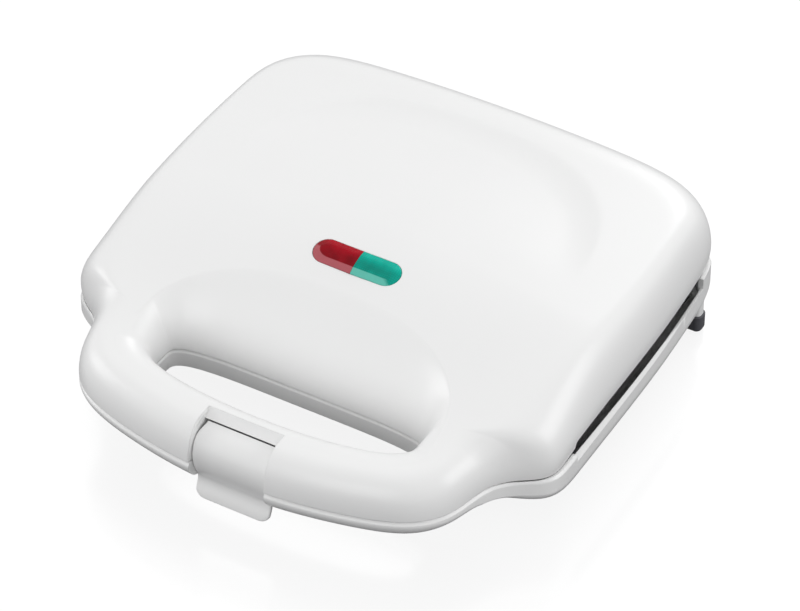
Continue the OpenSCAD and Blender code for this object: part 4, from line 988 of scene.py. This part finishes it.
def surface_grain_group():
    """Moulded or rolled surface: two sizes of noise over Object coordinates give a small bump, and shift
    the tone and the roughness a little. Hard edges get a small round."""
    group, given, result = new_group(
        "surface_grain",
        [
            ("Color", "NodeSocketColor", (0.8, 0.8, 0.8, 1)),
            ("Tone Shift", "NodeSocketFloat", 0.03),
            ("Grain Scale", "NodeSocketFloat", 900.0),
            ("Grain Depth", "NodeSocketFloat", 0.00002),
            ("Wave Scale", "NodeSocketFloat", 25.0),
            ("Wave Depth", "NodeSocketFloat", 0.0),
            ("Roughness", "NodeSocketFloat", 0.3),
            ("Roughness Shift", "NodeSocketFloat", 0.05),
            ("Stretch", "NodeSocketVector", (1, 1, 1)),
            ("Edge Radius", "NodeSocketFloat", 0.0003),
        ],
        [("Color", "NodeSocketColor"), ("Roughness", "NodeSocketFloat"), ("Normal", "NodeSocketVector")],
    )
    nodes, links = group.nodes, group.links
    place = nodes.new("ShaderNodeTexCoord")
    stretch = nodes.new("ShaderNodeVectorMath")
    stretch.operation = "MULTIPLY"
    links.new(place.outputs["Object"], stretch.inputs[0])
    links.new(given.outputs["Stretch"], stretch.inputs[1])

    def noise(scale, detail):
        """Noise whose scale comes from one of the group's inputs."""
        node = nodes.new("ShaderNodeTexNoise")
        node.inputs["Detail"].default_value = detail
        links.new(stretch.outputs[0], node.inputs["Vector"])
        links.new(given.outputs[scale], node.inputs["Scale"])
        return node.outputs["Fac"]

    fine, broad = noise("Grain Scale", 3.0), noise("Wave Scale", 2.0)
    offset = maths(nodes, links, "SUBTRACT", broad, 0.5)
    tone = nodes.new("ShaderNodeHueSaturation")
    shift = maths(nodes, links, "MULTIPLY", offset, given.outputs["Tone Shift"])
    links.new(maths(nodes, links, "ADD", shift, 1.0), tone.inputs["Value"])
    links.new(given.outputs["Color"], tone.inputs["Color"])
    links.new(tone.outputs["Color"], result.inputs["Color"])
    both = maths(nodes, links, "ADD", offset, maths(nodes, links, "SUBTRACT", fine, 0.5))
    rough = maths(nodes, links, "MULTIPLY", both, given.outputs["Roughness Shift"])
    rough = maths(nodes, links, "ADD", rough, given.outputs["Roughness"], clamp=True)
    links.new(rough, result.inputs["Roughness"])
    edge = nodes.new("ShaderNodeBevel")
    edge.samples = 4
    links.new(given.outputs["Edge Radius"], edge.inputs["Radius"])
    previous = edge.outputs["Normal"]
    for height, depth in ((broad, "Wave Depth"), (fine, "Grain Depth")):
        bump = nodes.new("ShaderNodeBump")
        links.new(given.outputs[depth], bump.inputs["Distance"])
        links.new(height, bump.inputs["Height"])
        links.new(previous, bump.inputs["Normal"])
        previous = bump.outputs["Normal"]
    links.new(previous, result.inputs["Normal"])
    return group


GRAIN = surface_grain_group()


def make_material(name, color, roughness, metallic=0.0, coat=0.0, **grain):
    """A Principled surface whose colour, roughness and normal come from the surface_grain group."""
    material, nodes, links, shader = new_material(name)
    group = nodes.new("ShaderNodeGroup")
    group.node_tree = GRAIN
    group.inputs["Color"].default_value = (*color, 1)
    group.inputs["Roughness"].default_value = roughness
    for label, value in grain.items():
        group.inputs[label.replace("_", " ").title()].default_value = value
    links.new(group.outputs["Color"], shader.inputs["Base Color"])
    links.new(group.outputs["Roughness"], shader.inputs["Roughness"])
    links.new(group.outputs["Normal"], shader.inputs["Normal"])
    shader.inputs["Metallic"].default_value = metallic
    shader.inputs["Coat Weight"].default_value = coat
    shader.inputs["Coat Roughness"].default_value = 0.08
    return material


def lens_tone_group():
    """Moulded lens: fine crossed ribs over Object coordinates (two band textures) give a mask and a
    bump. The ribs, a slow noise and a painted light that rises towards the rear edge mix the deep colour
    towards the bright one; the slopes that face front and left take the pale colour as a painted
    highlight."""
    group, given, result = new_group(
        "lens_tone",
        [
            ("Deep", "NodeSocketColor", (0.3, 0, 0, 1)),
            ("Bright", "NodeSocketColor", (0.6, 0, 0, 1)),
            ("Painted Highlight", "NodeSocketColor", (0.6, 0.2, 0.2, 1)),
            ("Rib Share", "NodeSocketFloat", 0.2),
        ],
        [("Color", "NodeSocketColor"), ("Normal", "NodeSocketVector")],
    )
    nodes, links = group.nodes, group.links
    place = nodes.new("ShaderNodeTexCoord")
    masks = []
    for direction in ("X", "Y"):
        bands = nodes.new("ShaderNodeTexWave")
        bands.bands_direction = direction
        bands.inputs["Scale"].default_value = RIB_SCALE
        bands.inputs["Distortion"].default_value = 0.2
        links.new(place.outputs["Object"], bands.inputs["Vector"])
        masks.append(bands.outputs["Fac"])
    ribs = maths(nodes, links, "MULTIPLY", *masks)
    cloud = nodes.new("ShaderNodeTexNoise")
    cloud.inputs["Scale"].default_value = CLOUD_SCALE
    links.new(place.outputs["Object"], cloud.inputs["Vector"])

    def ramp(value, low, high, top):
        """A smooth rise from 0 to top as the value goes from low to high."""
        node = nodes.new("ShaderNodeMapRange")
        node.interpolation_type = "SMOOTHSTEP"
        links.new(value, node.inputs["Value"])
        for label, number in (("From Min", low), ("From Max", high), ("To Max", top)):
            node.inputs[label].default_value = number
        return node.outputs["Result"]

    spot = nodes.new("ShaderNodeSeparateXYZ")
    links.new(place.outputs["Object"], spot.inputs[0])
    middle = (LENS_Y - BODY_D / 2) / 1000
    share = maths(nodes, links, "MULTIPLY", ribs, given.outputs["Rib Share"])
    # Painted light: the colour turns brighter towards the lens's rear edge.
    painted_rear_light = ramp(spot.outputs["Y"], middle - 0.001, middle + 0.006, 0.6)
    share = maths(nodes, links, "ADD", share, painted_rear_light)
    clouded = ramp(cloud.outputs["Fac"], 0.35, 0.75, 0.35)
    share = maths(nodes, links, "ADD", share, clouded, clamp=True)
    face = nodes.new("ShaderNodeVectorMath")
    face.operation = "DOT_PRODUCT"
    face.inputs[1].default_value = PAINTED_HIGHLIGHT_SIDE
    links.new(place.outputs["Normal"], face.inputs[0])
    # Painted highlight: the slopes that face front and left take the pale colour.
    slope = ramp(face.outputs["Value"], 0.27, 0.37, 0.75)
    color = mixed(nodes, links, share, given.outputs["Deep"], given.outputs["Bright"])
    color = mixed(nodes, links, slope, color, given.outputs["Painted Highlight"])
    links.new(color, result.inputs["Color"])
    bump = nodes.new("ShaderNodeBump")
    bump.inputs["Distance"].default_value = RIB_DEPTH
    links.new(ribs, bump.inputs["Height"])
    links.new(bump.outputs["Normal"], result.inputs["Normal"])
    return group


LENS_TONE = lens_tone_group()


def make_lens_material(name, deep, bright, pale, ribs):
    """Clear coloured plastic: the lens_tone group's colours under a weak gloss. Bright also carries a
    painted light towards the rear edge, and pale is a painted highlight.
    """
    material, nodes, links, shader = new_material(name)
    group = nodes.new("ShaderNodeGroup")
    group.node_tree = LENS_TONE
    for label, color in (("Deep", deep), ("Bright", bright), ("Painted Highlight", pale)):
        group.inputs[label].default_value = (*color, 1)
    group.inputs["Rib Share"].default_value = ribs
    links.new(group.outputs["Color"], shader.inputs["Base Color"])
    links.new(group.outputs["Normal"], shader.inputs["Normal"])
    shader.inputs["Roughness"].default_value = 0.1
    shader.inputs["Specular IOR Level"].default_value = 0.12
    return material


def paint_nodes(material, *names):
    """Puts a material in the slots of carried-over CAD nodes."""
    for name in names:
        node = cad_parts[name]
        if not node.material_slots:
            node.data.materials.append(material)
        for slot in node.material_slots:
            slot.material = material


white = make_material(
    "white_moulding", (0.84, 0.84, 0.835), 0.3, tone_shift=0.02, grain_scale=700.0,
    grain_depth=0.000004, wave_scale=18.0, roughness_shift=0.06, edge_radius=0.0005,
)
rubber = make_material(
    "foot_rubber", (0.075, 0.075, 0.085), 0.6, tone_shift=0.2, grain_scale=1500.0, grain_depth=0.00003,
)
coating = make_material(
    "plate_coating", (0.022, 0.022, 0.024), 0.38, tone_shift=0.3, grain_scale=1800.0, grain_depth=0.00002,
)
sheet = make_material(
    "bright_sheet", (0.75, 0.76, 0.77), 0.28, metallic=1.0, tone_shift=0.1, grain_scale=300.0,
    stretch=(1, 12, 1), roughness_shift=0.2,
)
steel = make_material("zinc_steel", (0.60, 0.61, 0.62), 0.32, metallic=1.0, tone_shift=0.15)
sheath = make_material(
    "element_sheath", (0.18, 0.17, 0.16), 0.45, metallic=1.0, tone_shift=0.4, wave_scale=60.0,
)
dark = make_material("dark_phenolic", (0.03, 0.03, 0.032), 0.4, tone_shift=0.2)
plain = make_material("inner_moulding", (0.7, 0.7, 0.66), 0.5, tone_shift=0.06)
woven = make_material(
    "glass_sleeve", (0.72, 0.69, 0.6), 0.8, tone_shift=0.1, grain_scale=2500.0, grain_depth=0.0001,
)
bulb = make_material("lamp_glass", (0.85, 0.6, 0.5), 0.08, tone_shift=0.05)
resistor = make_material("resistor_lacquer", (0.5, 0.36, 0.2), 0.35, tone_shift=0.2)
# Lens colours: deep, bright and pale; pale is a painted highlight, and the bright mix carries painted
# light at the rear.
red = make_lens_material("red_lens", (0.17, 0.0, 0.004), (0.46, 0.0, 0.012), (0.5, 0.14, 0.16), 0.08)
green = make_lens_material("green_lens", (0.0, 0.2, 0.15), (0.0, 0.5, 0.38), (0.16, 0.58, 0.48), 0.35)

INSULATION = [
    ("red_insulation", (0.42, 0.03, 0.02), "lamp_wires"),
    ("brown_insulation", (0.16, 0.06, 0.025), "live_wire"),
    ("blue_insulation", (0.02, 0.09, 0.33), "neutral_wire"),
    ("green_insulation", (0.06, 0.3, 0.04), "earth_wire"),
]
for name, color, wire in INSULATION:
    paint_nodes(make_material(name, color, 0.42, tone_shift=0.1), wire)

CARRIED_OVER = [
    (white, "lower_housing", "upper_housing", "latch"),
    (coating, "lower_plate", "upper_plate"),
    (sheath, "lower_element", "upper_element"),
    (sheet, "lower_reflector", "upper_reflector"),
    (sheet, "lower_element_clamps", "upper_element_clamps", "thermostat_strap"),
    (steel, "lower_plate_screws", "upper_plate_screws", "lower_tray_screws", "upper_tray_screws"),
    (steel, "terminal_block_screws", "cord_clamp_screws", "lamp_holder_screws"),
    (steel, "hinge_pins", "latch_pin"),
    (rubber, "front_feet", "rear_feet", "cord_grommet"),
    (dark, "thermostat"),
    (plain, "terminal_block", "cord_clamp", "lamp_holder"),
    (woven, "thermal_fuse", "link_sleeve", "lid_wires"),
    (red, "red_lens"),
    (green, "green_lens"),
    (bulb, "red_lamp", "green_lamp"),
    (resistor, "lamp_resistors"),
]
for finish in CARRIED_OVER:
    paint_nodes(*finish)

make_upper_housing(white)
make_lower_housing(white)
make_latch(white)
make_lens("red_lens", -1, red)
make_lens("green_lens", 1, green)
make_front_feet(rubber)
make_rear_feet(rubber)


# ======== Stage ========

WORLD_LEVEL = 0.7
WORLD_TINT = (0.99, 0.993, 1.0, 1)
GLOSS_LEVEL = 1.0
FLOOR_SEEN = (0.85, 0.85, 0.85, 1)
FLOOR_BOUNCE = (0.05, 0.05, 0.055, 1)
FLOOR_GLOW = 1.08
FLOOR_HALF = 3.0
FLOOR_DROP = 0.0002
GLOW_SHARE = 0.9
MIRROR_SHARE = 0.1
MIRROR_BLUR = 0.18
LIGHT_AIM = (0, 0, 0.03)
CAMERA_AZIMUTH = math.radians(30.2)
CAMERA_ELEVATION = math.radians(41.0)
CAMERA_LENS = 193.5
CAMERA_BACK = 1.7769
CAMERA_RIGHT = 0.0725
CAMERA_UP = 0.0722
# name, place, width and power of each soft light
LIGHTS = [
    ("left_light", (-1.7, -0.5, 0.7), 1.0, 9.0),
    ("right_light", (1.6, 0.4, 0.7), 1.0, 9.0),
    ("front_light", (0.2, -1.8, 0.6), 1.0, 6.0),
    ("rear_light", (0.0, 1.8, 1.1), 1.0, 10.0),
]


def make_world():
    """White where the camera looks, its own level for gloss and glass, a cool level everywhere else."""
    world = bpy.data.worlds.new("studio")
    bpy.context.scene.world = world
    world.use_nodes = True
    nodes, links = world.node_tree.nodes, world.node_tree.links
    background = nodes["Background"]
    path = nodes.new("ShaderNodeLightPath")
    glossy, through = path.outputs["Is Glossy Ray"], path.outputs["Is Transmission Ray"]
    shiny = maths(nodes, links, "MAXIMUM", glossy, through)
    seen = maths(nodes, links, "MAXIMUM", shiny, path.outputs["Is Camera Ray"])
    links.new(mixed(nodes, links, seen, WORLD_TINT, (1, 1, 1, 1)), background.inputs["Color"])
    level = maths(nodes, links, "MULTIPLY", shiny, GLOSS_LEVEL - WORLD_LEVEL)
    level = maths(nodes, links, "ADD", level, WORLD_LEVEL)
    level = maths(nodes, links, "MAXIMUM", level, path.outputs["Is Camera Ray"])
    links.new(level, background.inputs["Strength"])


def make_floor():
    """A pale floor that reads as white to the camera and keeps the object's soft shadow and a faint
    reflection; it throws little light back at the underside."""
    mesh = bpy.data.meshes.new("floor")
    corners = [(x * FLOOR_HALF, y * FLOOR_HALF, 0) for x, y in ((-1, -1), (1, -1), (1, 1), (-1, 1))]
    mesh.from_pydata(corners, [], [(0, 1, 2, 3)])
    floor = bpy.data.objects.new("floor", mesh)
    bpy.context.scene.collection.objects.link(floor)
    floor.location.z = -FLOOR_DROP
    material, nodes, links, shader = new_material("floor_white")
    seen = nodes.new("ShaderNodeLightPath").outputs["Is Camera Ray"]
    links.new(mixed(nodes, links, seen, FLOOR_BOUNCE, FLOOR_SEEN), shader.inputs["Base Color"])
    shader.inputs["Roughness"].default_value = 0.5
    glow = nodes.new("ShaderNodeEmission")
    glow.inputs["Strength"].default_value = FLOOR_GLOW
    mirror = nodes.new("ShaderNodeBsdfGlossy")
    mirror.inputs["Roughness"].default_value = MIRROR_BLUR
    previous = shader.outputs["BSDF"]
    layers = ((GLOW_SHARE, glow.outputs["Emission"]), (MIRROR_SHARE, mirror.outputs["BSDF"]))
    for share, added in layers:
        blend = nodes.new("ShaderNodeMixShader")
        links.new(maths(nodes, links, "MULTIPLY", seen, share), blend.inputs["Fac"])
        links.new(previous, blend.inputs[1])
        links.new(added, blend.inputs[2])
        previous = blend.outputs["Shader"]
    links.new(previous, nodes["Material Output"].inputs["Surface"])
    mesh.materials.append(material)


def make_light(name, place, size, power):
    """A square soft light that looks at the object's middle."""
    data = bpy.data.lights.new(name, "AREA")
    data.shape = "SQUARE"
    data.size = size
    data.energy = power
    light = bpy.data.objects.new(name, data)
    bpy.context.scene.collection.objects.link(light)
    light.location = place
    light.rotation_mode = "QUATERNION"
    light.rotation_quaternion = (Vector(LIGHT_AIM) - light.location).to_track_quat("-Z", "Y")


def make_camera():
    """Camera at the photograph's angle. It looks along -back; its place is the handle's front middle
    plus CAMERA_BACK, CAMERA_RIGHT and CAMERA_UP along its own directions."""
    level, rise = math.cos(CAMERA_ELEVATION), math.sin(CAMERA_ELEVATION)
    right = Vector((math.cos(CAMERA_AZIMUTH), math.sin(CAMERA_AZIMUTH), 0))
    back = Vector((right.y * level, -right.x * level, rise))
    up = back.cross(right)
    front = Vector(to_frame((0, 0, 0)))
    data = bpy.data.cameras.new("camera")
    data.sensor_width = 36.0
    data.lens = CAMERA_LENS
    camera = bpy.data.objects.new("camera", data)
    bpy.context.scene.collection.objects.link(camera)
    camera.location = front + back * CAMERA_BACK + right * CAMERA_RIGHT + up * CAMERA_UP
    camera.rotation_mode = "QUATERNION"
    camera.rotation_quaternion = Matrix((right, up, back)).transposed().to_quaternion()
    data.clip_start, data.clip_end = 0.05, 20.0
    bpy.context.scene.camera = camera


make_world()
make_floor()
for light in LIGHTS:
    make_light(*light)
make_camera()
bpy.context.scene.view_settings.view_transform = "Standard"
